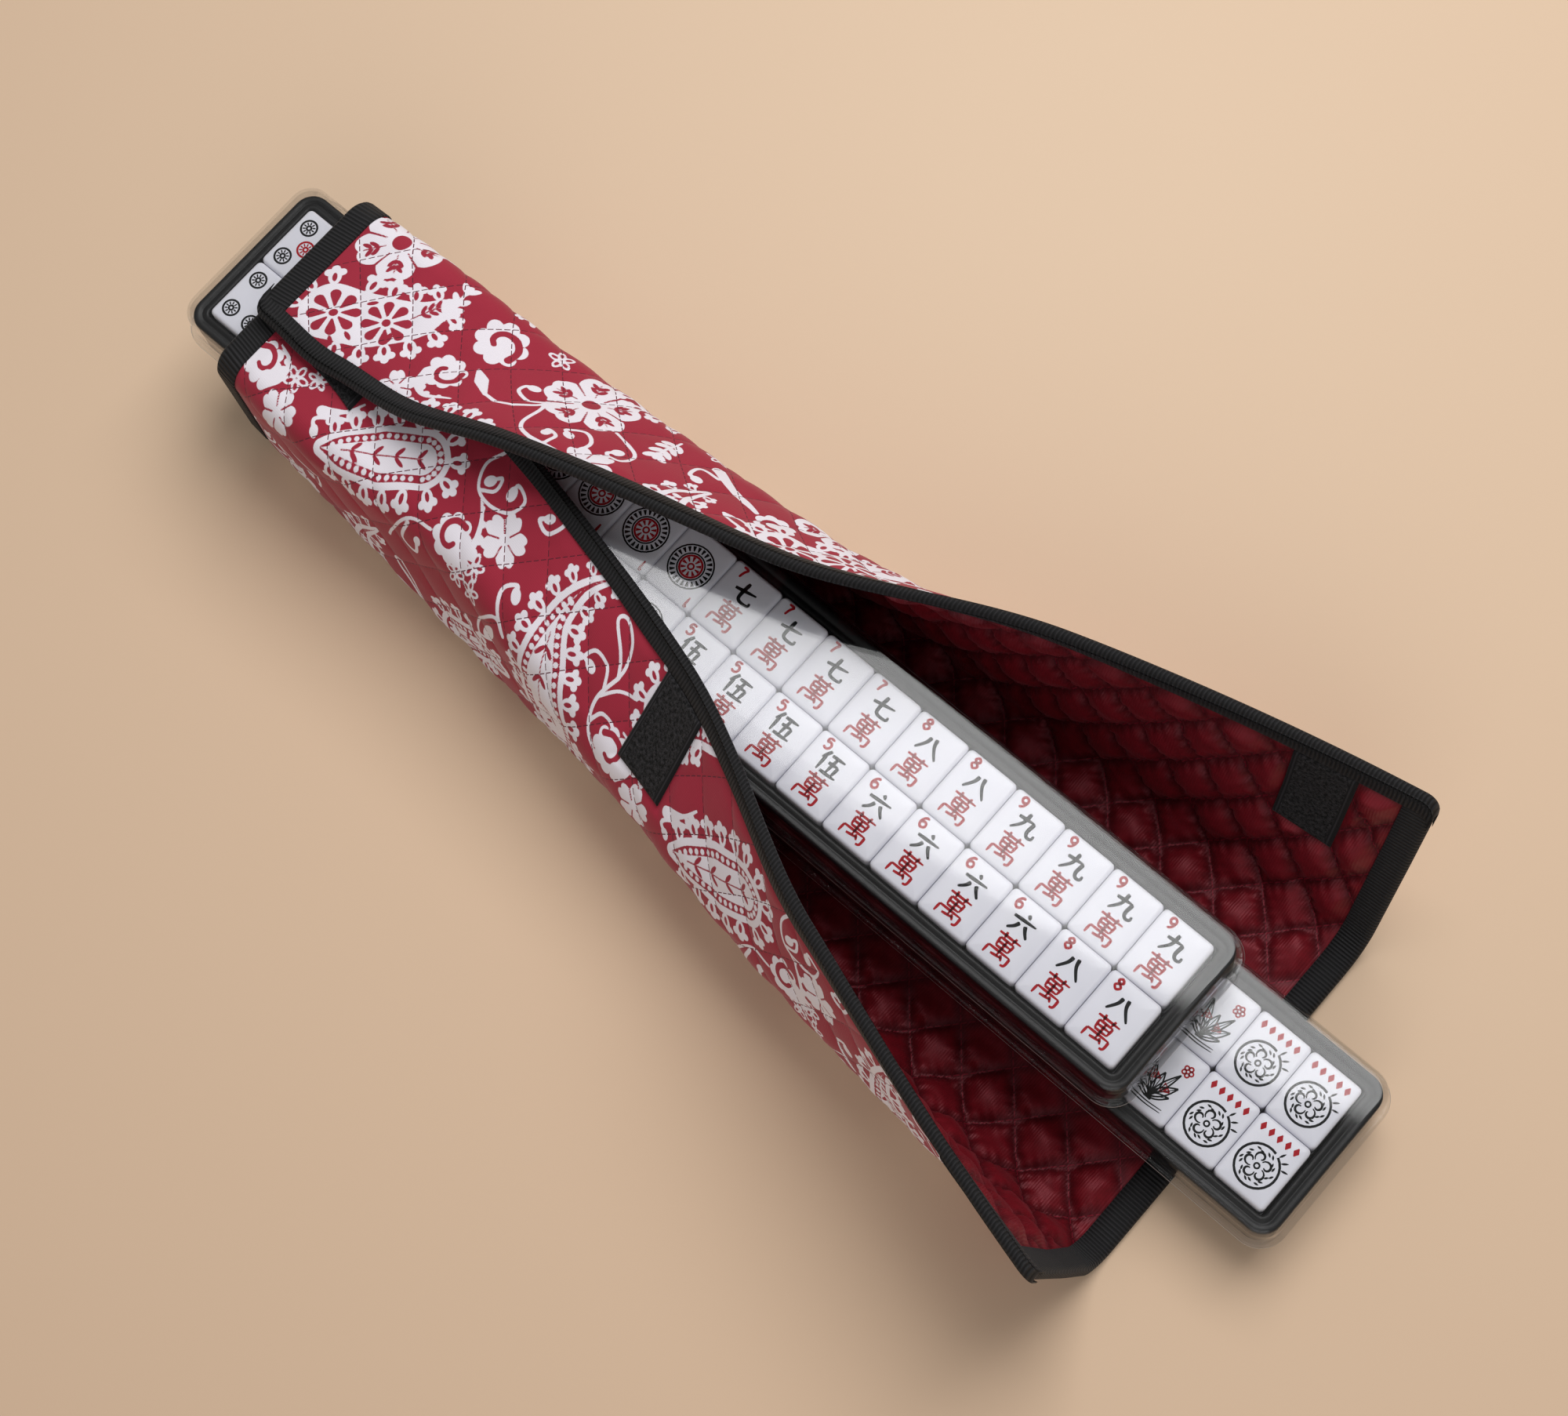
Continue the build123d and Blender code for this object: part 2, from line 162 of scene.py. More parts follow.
def smoothstep(value):
    """0 below 0, 1 above 1, and a smooth rise between."""
    t = np.clip(value, 0, 1)
    return t * t * (3 - 2 * t)


print("a 3 by 4 grid has", len(grid_quads(3, 4)), "quads")

# %% [markdown]
# The sleeve is one long quilt. From the middle of its floor the cloth runs out flat, bends up at
# the hinge line, rises, bends inwards and ends at its bound edge. Each half is set by a few sizes
# at six places along it, and a smooth curve joins them. So one function of two parameters, the
# place along the sleeve and the distance over the cloth, gives every point of it.

# %% Shape of the cloth
REAR_X, FRONT_X, LENGTH = -231.0, 231.0, 462.0
HALF_THICK, HINGE_Z = 2.0, 12.0
PLACES = REAR_X + LENGTH * np.array([0.0, 0.091, 0.253, 0.491, 0.708, 1.0])
STACK_HIGH = 63.3
HALVES = {
    "top": dict(side=1, hinge=(41.5, 80.0), wrap=(101.7, 100.5, 98.4, 95.3, 92.5, 88.7),
                lean=(90.0, 92.0, 94.5, 97.5, 83.5, 58.5),
                bend_height=(0.7, 1.4, -11.9, -6.7, 3.4, -21.5),
                bend=(90.0, 87.5, 49.5, 29.5, 13.0, 1.5), radius=(8.0, 8.0, 14.0, 20.0, 30.0, 40.0)),
    "under": dict(side=-1, hinge=(41.5, 82.0), wrap=(104.7, 103.2, 97.7, 96.7, 97.5, 98.7),
                  lean=(90.0, 91.5, 101.5, 85.0, 65.5, 74.0),
                  bend_height=(-5.5, -4.8, -6.7, -25.4, -37.6, -25.8),
                  bend=(90.0, 88.5, 68.5, 61.0, 43.5, 1.5),
                  radius=(8.0, 8.0, 14.0, 20.0, 30.0, 40.0)),
}


def ease(x, values):
    """Cubic curve through the values at the six places, whose slopes are harmonic means of the
    slopes on both sides, so that it never overshoots."""
    values = np.array(values, float)
    steps = np.diff(PLACES)
    rises = np.diff(values) / steps
    before, after = rises[:-1], rises[1:]
    total = np.where(before * after > 0, before + after, 1.0)
    inner = np.where(before * after > 0, 2 * before * after / total, 0.0)
    slopes = np.concatenate([rises[:1], inner, rises[-1:]])
    x = np.clip(x, PLACES[0], PLACES[-1])
    i = np.clip(np.searchsorted(PLACES, x, side="right") - 1, 0, len(steps) - 1)
    t = (x - PLACES[i]) / steps[i]
    start = (1 + 2 * t) * (1 - t) ** 2 * values[i] + t * (1 - t) ** 2 * steps[i] * slopes[i]
    end = t * t * (3 - 2 * t) * values[i + 1] - t * t * (1 - t) * steps[i] * slopes[i + 1]
    return start + end


def reach(half, x):
    """Distance over the cloth from the middle of the floor to the edge, at x."""
    if half["side"] > 0:
        wave = 6.5 * smoothstep((x - REAR_X) / 38) * np.exp(-np.maximum(x + 150, 0) / 190)
    else:
        wave = 4.5 * np.exp(-((x + 187) / 28) ** 2)
    return STACK_HIGH + ease(x, half["wrap"]) + wave


CORNER = 6.0


def edge(half, x):
    """The same distance where the corners of the cloth are rounded off by a quarter circle."""
    x = np.asarray(x, float)
    gone = np.clip(CORNER - np.minimum(x - REAR_X, FRONT_X - x), 0, CORNER)
    return reach(half, x) - (CORNER - np.sqrt(CORNER ** 2 - gone ** 2))


def cloth(half, x, s, offset):
    """The point at x along the sleeve and s over the cloth, offset inwards from its middle.

    The line over the cloth is flat floor, arc, straight, arc, straight. Its angle to the floor
    grows along each arc by length over radius, and the point moves by the angle's cosine and
    sine. The upper cloth lies back a little at the front, in proportion to its height.
    """
    x, s, offset = np.broadcast_arrays(np.asarray(x, float), np.asarray(s, float), offset)
    share = (x - REAR_X) / LENGTH
    hinge = half["hinge"][0] + (half["hinge"][1] - half["hinge"][0]) * share
    lean = np.radians(ease(x, half["lean"]))
    bend = np.radians(ease(x, half["bend"]))
    rise = (STACK_HIGH + ease(x, half["bend_height"]) - HINGE_Z) / np.sin(lean)
    radius = ease(x, half["radius"])
    low_radius = (HINGE_Z - HALF_THICK) / (1 - np.cos(lean))
    a = hinge - low_radius * np.sin(lean)
    b = a + low_radius * lean
    c = b + rise
    d = c + radius * bend
    angle = np.clip((s - a) / low_radius, 0, lean) + np.clip((s - c) / radius, 0, bend)
    y = np.minimum(s, a) + low_radius * np.sin(np.clip((s - a) / low_radius, 0, lean))
    z = HALF_THICK + low_radius * (1 - np.cos(np.clip((s - a) / low_radius, 0, lean)))
    run = np.clip(s - b, 0, rise)
    y, z = y + run * np.cos(lean), z + run * np.sin(lean)
    turned = np.clip((s - c) / radius, 0, bend)
    y = y + radius * (np.sin(lean + turned) - np.sin(lean))
    z = z + radius * (np.cos(lean) - np.cos(lean + turned))
    run = np.maximum(s - d, 0)
    y, z = y + run * np.cos(lean + bend), z + run * np.sin(lean + bend)
    y, z = y - offset * np.sin(angle), z + offset * np.cos(angle)
    back = 0.13 * np.clip(share, 0, None) ** 1.5 * np.maximum(z - HALF_THICK, 0)
    return np.stack([x - back, half["side"] * y, z], -1)


for name, half in HALVES.items():
    print(name, "edge at the front:", cloth(half, FRONT_X, reach(half, FRONT_X), 0.0).round(1))

# %% [markdown]
# Quilting sews the layers together along a lattice of diamonds, and the wadding puffs up between
# the seams. The height of a puff is the product of two sines, one for each family of seams,
# raised to a power below one so that it rises steeply from the seam and is broad on top.

# %% Quilting
DIAMOND_X, DIAMOND_S = 25.0, 28.0
GRID_STEP = 0.6
random = np.random.default_rng(7)


def seams(x, s):
    """The two seam families at a place on the cloth: whole numbers lie on a seam."""
    return x / DIAMOND_X + s / DIAMOND_S, x / DIAMOND_X - s / DIAMOND_S


def puff(x, s):
    """0 on a seam and 1 in the middle of a diamond."""
    u, v = seams(x, s)
    return np.abs(np.sin(np.pi * u) * np.sin(np.pi * v)) ** 0.55


def pucker(x, s):
    """Small folds that run across each seam and die out 5 mm from it, up to 1 high."""
    u, v = seams(x, s)
    total = np.zeros(np.shape(u))
    for near, along in ((u, v), (v, u)):
        gap = np.abs(near - np.round(near)) * 18.6
        row = np.round(near)
        wave = np.sin(2 * np.pi * (along * 3.6 + 0.37 * row + 0.3 * np.sin(5.1 * along + row)))
        total = total + wave * np.exp(-(gap / 4.0) ** 2) * np.clip(gap / 1.2, 0, 1)
    return total


def ripple(x, s, size, seed):
    """Slow random waves over the cloth, about 1 high, made of eight sine waves."""
    waves = np.random.default_rng(seed)
    total = np.zeros(np.shape(x + s))
    for _ in range(8):
        angle, phase = waves.uniform(0, np.pi), waves.uniform(0, 2 * np.pi)
        pitch = size * waves.uniform(0.7, 1.6)
        total = total + np.sin(2 * np.pi * (x * np.cos(angle) + s * np.sin(angle)) / pitch + phase)
    return total / 8 ** 0.5


TAPE_LONG, TAPE_END, TAPE_WALL = 8.0, 11.0, 0.6
PATCH_LONG, PATCH_ACROSS = 24.0, 38.0
PATCH_X = (-187.0, 2.5, 192.0)


def sewn_flat(half, x, s):
    """1 under a hook-and-loop patch, and 0 from 4 mm beyond it."""
    flat = np.zeros(np.shape(x))
    middle = reach(half, x) - TAPE_LONG - PATCH_ACROSS / 2
    for patch_x in PATCH_X:
        beyond = np.maximum(abs(x - patch_x) - PATCH_LONG / 2, abs(s - middle) - PATCH_ACROSS / 2)
        flat = np.maximum(flat, 1 - smoothstep(beyond / 4))
    return flat


def quilt_offsets(half, x, s):
    """Offsets of the outer and the lining face: seams pull them in, puffs push them out.

    Near the bound edge, under the patches and under the trays the wadding is pressed thin.
    """
    signed = half["side"] * s
    inside = np.minimum(np.minimum(x - REAR_X - TAPE_END, FRONT_X - TAPE_END - x),
                        edge(half, x) - TAPE_LONG - s)
    plump = smoothstep((inside + 1) / 7)
    patch = sewn_flat(half, x, s)
    outer_plump = plump * (1 - patch * (half["side"] < 0))
    lining_plump = plump * (1 - patch * (half["side"] > 0))
    height = puff(x, signed)
    on_floor = 1 - smoothstep((s - 38) / 10)
    outer = 1.4 + (0.75 + 0.3 * (1 - on_floor)) * height * outer_plump
    outer = outer + 0.12 * ripple(x, signed, 30, 3) * outer_plump * (1 - on_floor)
    outer = np.minimum(outer, 1.98 + 0.5 * (1 - on_floor))
    free = smoothstep((x + 70) / 90) * smoothstep((s - 40) / 12)
    lining = 1.4 - 0.7 * free * lining_plump + height * lining_plump * (0.55 + 4.0 * free)
    wrinkle = 0.7 * pucker(x, signed) + 0.4 * ripple(x, signed, 17, 5)
    lining = lining + wrinkle * free * lining_plump
    return -outer, lining


print("puff at a diamond's middle:", puff(12.5, 0.0).round(2))

# %% [markdown]
# The outside is a plain-woven cotton, printed white on crimson. Cotton is matt, with a slight
# fuzz that shows as a soft sheen at grazing angles. The print is worked out below as a distance
# to its nearest edge, kept on the points of the cloth, so the shader only has to ask whether
# that distance is above or below zero.

# %% Printed cotton
PRINTED_CRIMSON, PRINT_WHITE, STITCH_RED = "#A01F38", "#ECE6EE", "#5E1024"


def cloth_coordinates(tree):
    """The two cloth coordinates in millimetres, from the UV map, which is in metres."""
    place = add(tree, "UVMap", uv_map="cloth")
    scaled = add(tree, "VectorMath", {0: place.outputs[0], 1: (1000.0, 1000.0, 1000.0)},
                 operation="MULTIPLY")
    parts = add(tree, "SeparateXYZ", {0: scaled.outputs[0]})
    return scaled.outputs[0], parts.outputs[0], parts.outputs[1]


def seam_distance(tree, x, s):
    """Millimetres to the nearest seam of either family, and the place along that seam."""
    along = math(tree, "MULTIPLY", x, 1 / DIAMOND_X)
    across = math(tree, "MULTIPLY", s, 1 / DIAMOND_S)
    u = math(tree, "ADD", along, across)
    v = math(tree, "SUBTRACT", along, across)
    gaps = []
    for family, other in ((u, v), (v, u)):
        gap = math(tree, "PINGPONG", family, 0.5)
        dash = math(tree, "FRACT", math(tree, "MULTIPLY", other, 6.0))
        hidden = math(tree, "MULTIPLY", math(tree, "GREATER_THAN", dash, 0.72), 0.4)
        gaps.append(math(tree, "ADD", math(tree, "MULTIPLY", gap, 18.6), hidden))
    return math(tree, "MINIMUM", *gaps)


cotton, tree, shader, output = new_material("plain-woven printed cotton")
cloth_place, cloth_x, cloth_s = cloth_coordinates(tree)
weave = add(tree, "TexNoise", {"Vector": cloth_place, "Scale": 1.6, "Detail": 2.0})
ink = add(tree, "Attribute", attribute_name="print")
ink_edge = math(tree, "ADD", ink.outputs["Fac"], math(tree, "MULTIPLY", weave.outputs[0], 0.25))
inked = add(tree, "MapRange", {"Value": ink_edge, "From Min": 0.25, "From Max": 0.0})
fade = add(tree, "TexNoise", {"Vector": cloth_place, "Scale": 0.035, "Detail": 3.0})
ground = add(tree, "MixRGB", {0: fade.outputs[0], 1: linear("#94182F"), 2: linear("#A8203A")})
printed = add(tree, "MixRGB", {0: inked.outputs[0], 1: ground.outputs[0], 2: linear(PRINT_WHITE)})
stitch = math(tree, "LESS_THAN", seam_distance(tree, cloth_x, cloth_s), 0.18)
stitched = add(tree, "MixRGB", {0: stitch, 1: printed.outputs[0], 2: linear(STITCH_RED)})
tree.links.new(stitched.outputs[0], shader.inputs["Base Color"])
shader.inputs["Roughness"].default_value = 0.85
shader.inputs["Sheen Weight"].default_value = 0.25
shader.inputs["Sheen Roughness"].default_value = 0.4
# Threads lie 0.35 mm apart; the relief is drawn at 0.7 mm so that it shows.
warp = add(tree, "TexWave", {"Vector": cloth_place, "Scale": 0.45, "Distortion": 0.6},
           bands_direction="X")
weft = add(tree, "TexWave", {"Vector": cloth_place, "Scale": 0.45, "Distortion": 0.6},
           bands_direction="Y")
threads = math(tree, "ADD", warp.outputs[1], weft.outputs[1])
relief = add(tree, "Bump", {"Height": threads, "Strength": 0.22, "Distance": 0.0001})
tree.links.new(relief.outputs[0], shader.inputs["Normal"])
print("material:", cotton.name)

# %% [markdown]
# The inside is a polyester satin in dark wine red. Satin floats its threads over several others,
# so it is smooth, takes broad soft highlights, and looks darker where it turns away.

# %% Satin lining
satin, tree, shader, output = new_material("polyester satin lining")
cloth_place, cloth_x, cloth_s = cloth_coordinates(tree)
slub = add(tree, "TexNoise", {"Vector": cloth_place, "Scale": 0.25, "Detail": 4.0})
depth = add(tree, "MixRGB", {0: slub.outputs[0], 1: linear("#540910"), 2: linear("#7A0F1C")})
from_seam = seam_distance(tree, cloth_x, cloth_s)
# Painted shade: along each seam the colour is darkened below that of the puffs, from the thread to 4 mm
# away, as if shaded by deep folds.
seam_shade = add(tree, "MapRange", {"Value": from_seam, "From Min": 0.4, "From Max": 4.0, "To Min": 0.75,
                              "To Max": 0.0})
# The painted seam shade mixes the satin towards a near-black wine red.
seam_shaded_colour = add(tree, "MixRGB", {0: seam_shade.outputs[0], 1: depth.outputs[0], 2: linear("#240307")})
stitch = math(tree, "LESS_THAN", from_seam, 0.22)
sewn = add(tree, "MixRGB", {0: stitch, 1: seam_shaded_colour.outputs[0], 2: linear("#6E1020")})
tree.links.new(sewn.outputs[0], shader.inputs["Base Color"])
shader.inputs["Roughness"].default_value = 0.46
shader.inputs["Specular IOR Level"].default_value = 0.6
shader.inputs["Specular Tint"].default_value = (1.0, 0.35, 0.4, 1.0)
shader.inputs["Sheen Weight"].default_value = 0.12
shader.inputs["Sheen Tint"].default_value = (1.0, 0.25, 0.3, 1.0)
# Satin's fine ribs are 0.2 mm; they are drawn at 1 mm so that they show.
rib = add(tree, "TexWave", {"Vector": cloth_place, "Scale": 0.31, "Distortion": 0.8,
                            "Detail": 1.0}, bands_direction="X")
relief = add(tree, "Bump", {"Height": rib.outputs[1], "Strength": 0.45, "Distance": 0.00012})
tree.links.new(relief.outputs[0], shader.inputs["Normal"])
print("material:", satin.name)

# %% [markdown]
# Each half of the quilt is one closed piece: its outer face, its lining face and the strips that
# join them round the edge. The wadding inside would take a cloth simulation minutes to blow up
# into the same even diamonds, so its puffs are set by the formula above instead.

# %% Quilt halves
HEM = 1.5


def quilt_grid(half):
    """Grid over one half: x along the sleeve, and s from the floor's middle to the edge.

    Both counts are odd, so that every second point makes the coarser grid of the lining.
    """
    columns = np.linspace(REAR_X + HEM, FRONT_X - HEM, 2 * round(LENGTH / GRID_STEP / 2) + 1)
    floor_rows = np.linspace(0, 38, 15)[:-1] / 160
    rows = np.concatenate([floor_rows, np.linspace(38 / 160, 1, 2 * round(61 / GRID_STEP) + 1)])
    share, x = np.meshgrid(rows, columns, indexing="ij")
    return x, share * (edge(half, x) - HEM)


def rim_of(number):
    """The numbers of a grid's border points, once round."""
    return np.concatenate([number[0, :-1], number[:-1, -1], number[-1, :0:-1], number[:0:-1, 0]])


def quilt_half(name, half):
    """A closed quilt: the outer face, the lining, and a strip of five-sided faces between."""
    x, s = quilt_grid(half)
    outer_x, outer_s, lining_x, lining_s = x, s, x[::2, ::2], s[::2, ::2]
    outer = cloth(half, outer_x, outer_s, quilt_offsets(half, outer_x, outer_s)[0])
    lining = cloth(half, lining_x, lining_s, quilt_offsets(half, lining_x, lining_s)[1])
    count = outer_x.size
    outer_faces = grid_quads(*outer_x.shape)
    lining_faces = grid_quads(*lining_x.shape)[:, ::-1] + count
    fine = rim_of(np.arange(count).reshape(outer_x.shape))
    coarse = rim_of(np.arange(lining_x.size).reshape(lining_x.shape)) + count
    # The strip has border points of its own, so that each face keeps its own slant of light and
    # no bright line shows where the halves meet along the floor.
    border = np.concatenate([fine, coarse])
    own = count + lining_x.size + np.arange(len(border))
    fine, coarse = own[:len(fine)], own[len(fine):]
    strip = np.stack([np.roll(fine, -2)[::2], fine[1::2], fine[::2], coarse, np.roll(coarse, -1)], -1)
    if half["side"] > 0:
        outer_faces, lining_faces, strip = outer_faces[:, ::-1], lining_faces[:, ::-1], strip[:, ::-1]
    faces = outer_faces.tolist() + lining_faces.tolist() + strip.tolist()
    slots = np.concatenate([np.zeros(len(outer_faces)), np.ones(len(lining_faces) + len(strip))])
    uv = [np.stack([a, half["side"] * b], -1).reshape(-1, 2) * MM
          for a, b in ((outer_x, outer_s), (lining_x, lining_s))]
    points = np.concatenate([outer.reshape(-1, 3), lining.reshape(-1, 3)]) * MM
    uv = np.concatenate(uv)
    points, uv = np.concatenate([points, points[border]]), np.concatenate([uv, uv[border]])
    piece = mesh_object(name, points, faces, [cotton, satin], uv, slots)
    return piece, x, s


print("grid of the upper half:", quilt_grid(HALVES["top"])[0].shape)

# %% [markdown]
# The print is a folk pattern of paisleys, scalloped curls, clovers and tendrils. Each shape is a
# signed distance: below zero inside it and above zero outside. Adding a shape takes the smaller
# of two distances, and cutting one out takes the larger of the first and the other's negative.
# A place on the cloth is a complex number, x along and s across, so that turning is multiplying.

# %% Print shapes
class Ink:
    """The print on one half: the places of its points, and their distance to the ink's edge."""

    def __init__(self, x, s):
        self.ground = x + 1j * s
        self.distance = np.full(x.shape, 6.0)
        self.shift = 0j

    def lay(self, middle, size, shape, cut=False):
        """Adds or cuts a shape within size of its middle; shape(q) is its signed distance."""
        middle = middle + self.shift
        box = self.ground - middle
        near = (abs(box.real) < size + 3) & (abs(box.imag) < size + 3)
        if not near.any():
            return
        distance = shape(box[near])
        if cut:
            self.distance[near] = np.maximum(self.distance[near], -distance)
        else:
            self.distance[near] = np.minimum(self.distance[near], distance)

    def disc(self, middle, radius, cut=False):
        self.lay(middle, radius, lambda q: abs(q) - radius, cut)

    def oval(self, middle, toward, length, width, cut=False, ring=0.0):
        """Half length and half width; ring leaves only a line of that half width round it."""
        turn = np.conj(toward / abs(toward))

        def shape(q):
            w = q * turn
            rho = np.hypot(w.real / length, w.imag / width)
            distance = (rho - 1) * width * (1 + 0.5 * (length / width - 1) * abs(w.real) / length)
            return abs(distance) - ring if ring else distance
        self.lay(middle, length, shape, cut)

    def line(self, points, half, cut=False):
        """A smooth line through points; half is its half width, or one for each point."""
        path = smooth_line(points)
        widths = np.broadcast_to(half, len(points))
        widths = np.interp(np.linspace(0, 1, len(path)), np.linspace(0, 1, len(points)), widths)
        middle = (path.real.min() + path.real.max() + 1j * (path.imag.min() + path.imag.max())) / 2
        size = max(np.ptp(path.real), np.ptp(path.imag)) / 2 + widths.max()
        a, b = path[:-1] - middle, path[1:] - middle

        def shape(q):
            t = np.clip(((q[:, None] - a) * np.conj(b - a)).real / abs(b - a) ** 2, 0, 1)
            wide = widths[:-1] + np.diff(widths) * t
            return (abs(q[:, None] - a - t * (b - a)) - wide).min(axis=1)
        self.lay(middle, size, shape, cut)


def smooth_line(points, steps=7):
    """A line through the points; its slope at each is half the step between its neighbours."""
    p = np.array(points, complex)
    p = np.concatenate([[2 * p[0] - p[1]], p, [2 * p[-1] - p[-2]]])
    t = np.linspace(0, 1, steps, endpoint=False)[:, None]
    a, b, c, d = p[:-3], p[1:-2], p[2:-1], p[3:]
    path = 0.5 * (2 * b + (c - a) * t + (2 * a - 5 * b + 4 * c - d) * t ** 2
                  + (3 * b - a - 3 * c + d) * t ** 3)
    return np.append(path.T.ravel(), p[-2])


def tulip(ink, foot, toward, size):
    """One flower of a paisley's fringe: a body with a drop cut out, and three round lobes."""
    toward = toward / abs(toward)
    ink.oval(foot + 0.38 * size * toward, toward, 0.42 * size, 0.29 * size)
    for angle, far, round_ in ((0.0, 0.80, 0.19), (0.46, 0.68, 0.185), (-0.46, 0.68, 0.185)):
        ink.disc(foot + far * size * toward * np.exp(1j * angle), round_ * size)
    ink.oval(foot + 0.34 * size * toward, toward, 0.24 * size, 0.11 * size, cut=True)


def clover(ink, middle, size, angle=0.0, petals=5):
    """Round petals with a notch, and thin veins cut from the middle."""
    for k in range(petals):
        toward = np.exp(1j * (angle + 2 * np.pi * k / petals))
        for side in (-0.27, 0.27):
            ink.oval(middle + 0.62 * size * toward * np.exp(1j * side), toward,
                     0.42 * size, 0.24 * size)
    ink.disc(middle, 0.4 * size)
    for k in range(petals):
        toward = np.exp(1j * (angle + 2 * np.pi * (k + 0.5) / petals))
        ink.line([middle + 0.25 * size * toward, middle + 0.8 * size * toward], 0.35, cut=True)


def daisy(ink, middle, size, angle=0.3, line=0.42):
    """Five petals drawn as outlines."""
    for k in range(5):
        toward = np.exp(1j * (angle + 2 * np.pi * k / 5))
        ink.oval(middle + 0.6 * size * toward, toward, 0.42 * size, 0.24 * size, ring=line)


def curl(ink, middle, size, angle, hand, tail=()):
    """A scalloped disc with a spiral cut into it, and a scalloped tail that tapers off."""
    for k in range(8):
        ink.disc(middle + 0.78 * size * np.exp(1j * (angle + k * np.pi / 4)), 0.34 * size)
    ink.disc(middle, 0.82 * size)
    turn = np.linspace(0, 1.45 * np.pi, 7)
    radius = size * np.linspace(0.82, 0.3, 7)
    ink.line(middle + radius * np.exp(1j * (angle + hand * turn)),
             size * np.linspace(0.16, 0.12, 7), cut=True)
    if len(tail):
        path = smooth_line(tail)
        ink.line(tail, np.linspace(0.26, 0.05, len(tail)) * size)
        step = np.gradient(path)
        for k in range(2, len(path) - 3, 4):
            width = size * 0.3 * (1 - k / len(path))
            ink.disc(path[k] - 1j * hand * step[k] / abs(step[k]) * width, width + 0.5)


def tendril(ink, points, half=0.75, bead=2.1):
    """A thin line that ends in a drop."""
    ink.line(points, half)
    ink.oval(points[-1], points[-1] - points[-2], bead * 1.25, bead * 0.9)


def sprig(ink, points, leaf=3.0, pairs=4):
    """A stem with pairs of small leaves."""
    ink.line(points, 0.55)
    path = smooth_line(points)
    for k in np.linspace(2, len(path) - 2, pairs).astype(int):
        step = path[k] - path[k - 1]
        for side in (1, -1):
            toward = step / abs(step) * np.exp(0.8j * side)
            ink.oval(path[k] + 0.8 * leaf * toward, toward, 0.72 * leaf, 0.36 * leaf)
    ink.oval(points[-1], points[-1] - points[-2], 0.7 * leaf, 0.4 * leaf)


def leafed_vein(ink, start, end, leaf, pairs):
    """A thin cut line with pairs of cut leaves along it, as the veins of a petal."""
    ink.line([start, end], 0.28, cut=True)
    along = (end - start) / abs(end - start)
    for k in range(pairs):
        foot = start + (0.25 + 0.6 * k / pairs) * (end - start)
        for side in (1, -1):
            toward = along * np.exp(0.7j * side)
            ink.oval(foot + 1.15 * leaf * toward, toward, leaf, 0.4 * leaf, cut=True)


def blossom(ink, middle, size, angle=0.4, petals=5):
    """Broad notched petals, each with a leafed vein cut into it, round a cut heart."""
    for k in range(petals):
        toward = np.exp(1j * (angle + 2 * np.pi * k / petals))
        for side in (-0.22, 0.22):
            ink.oval(middle + 0.62 * size * toward * np.exp(1j * side), toward * np.exp(0.5j * side),
                     0.42 * size, 0.31 * size)
    ink.disc(middle, 0.42 * size)
    for k in range(petals):
        gap = np.exp(1j * (angle + 2 * np.pi * (k + 0.5) / petals))
        ink.line([middle + 0.36 * size * gap, middle + 1.0 * size * gap], [0.3, 0.6], cut=True)
        toward = np.exp(1j * (angle + 2 * np.pi * k / petals))
        leafed_vein(ink, middle + 0.34 * size * toward, middle + 0.86 * size * toward,
                    0.13 * size, 2)
    ink.disc(middle, 0.2 * size, cut=True)


def wheel_cut(ink, middle, size):
    """Eight wedges and a hub cut into a white body."""
    for k in range(8):
        toward = np.exp(1j * (0.2 + k * np.pi / 4))
        ink.line([middle + 0.36 * size * toward, middle + 0.92 * size * toward],
                 [0.05 * size, 0.24 * size], cut=True)
    ink.disc(middle, 0.2 * size, cut=True)


RIM, CHANNEL, BEAD, BEAD_PITCH = 2.5, 3.1, 1.05, 3.2


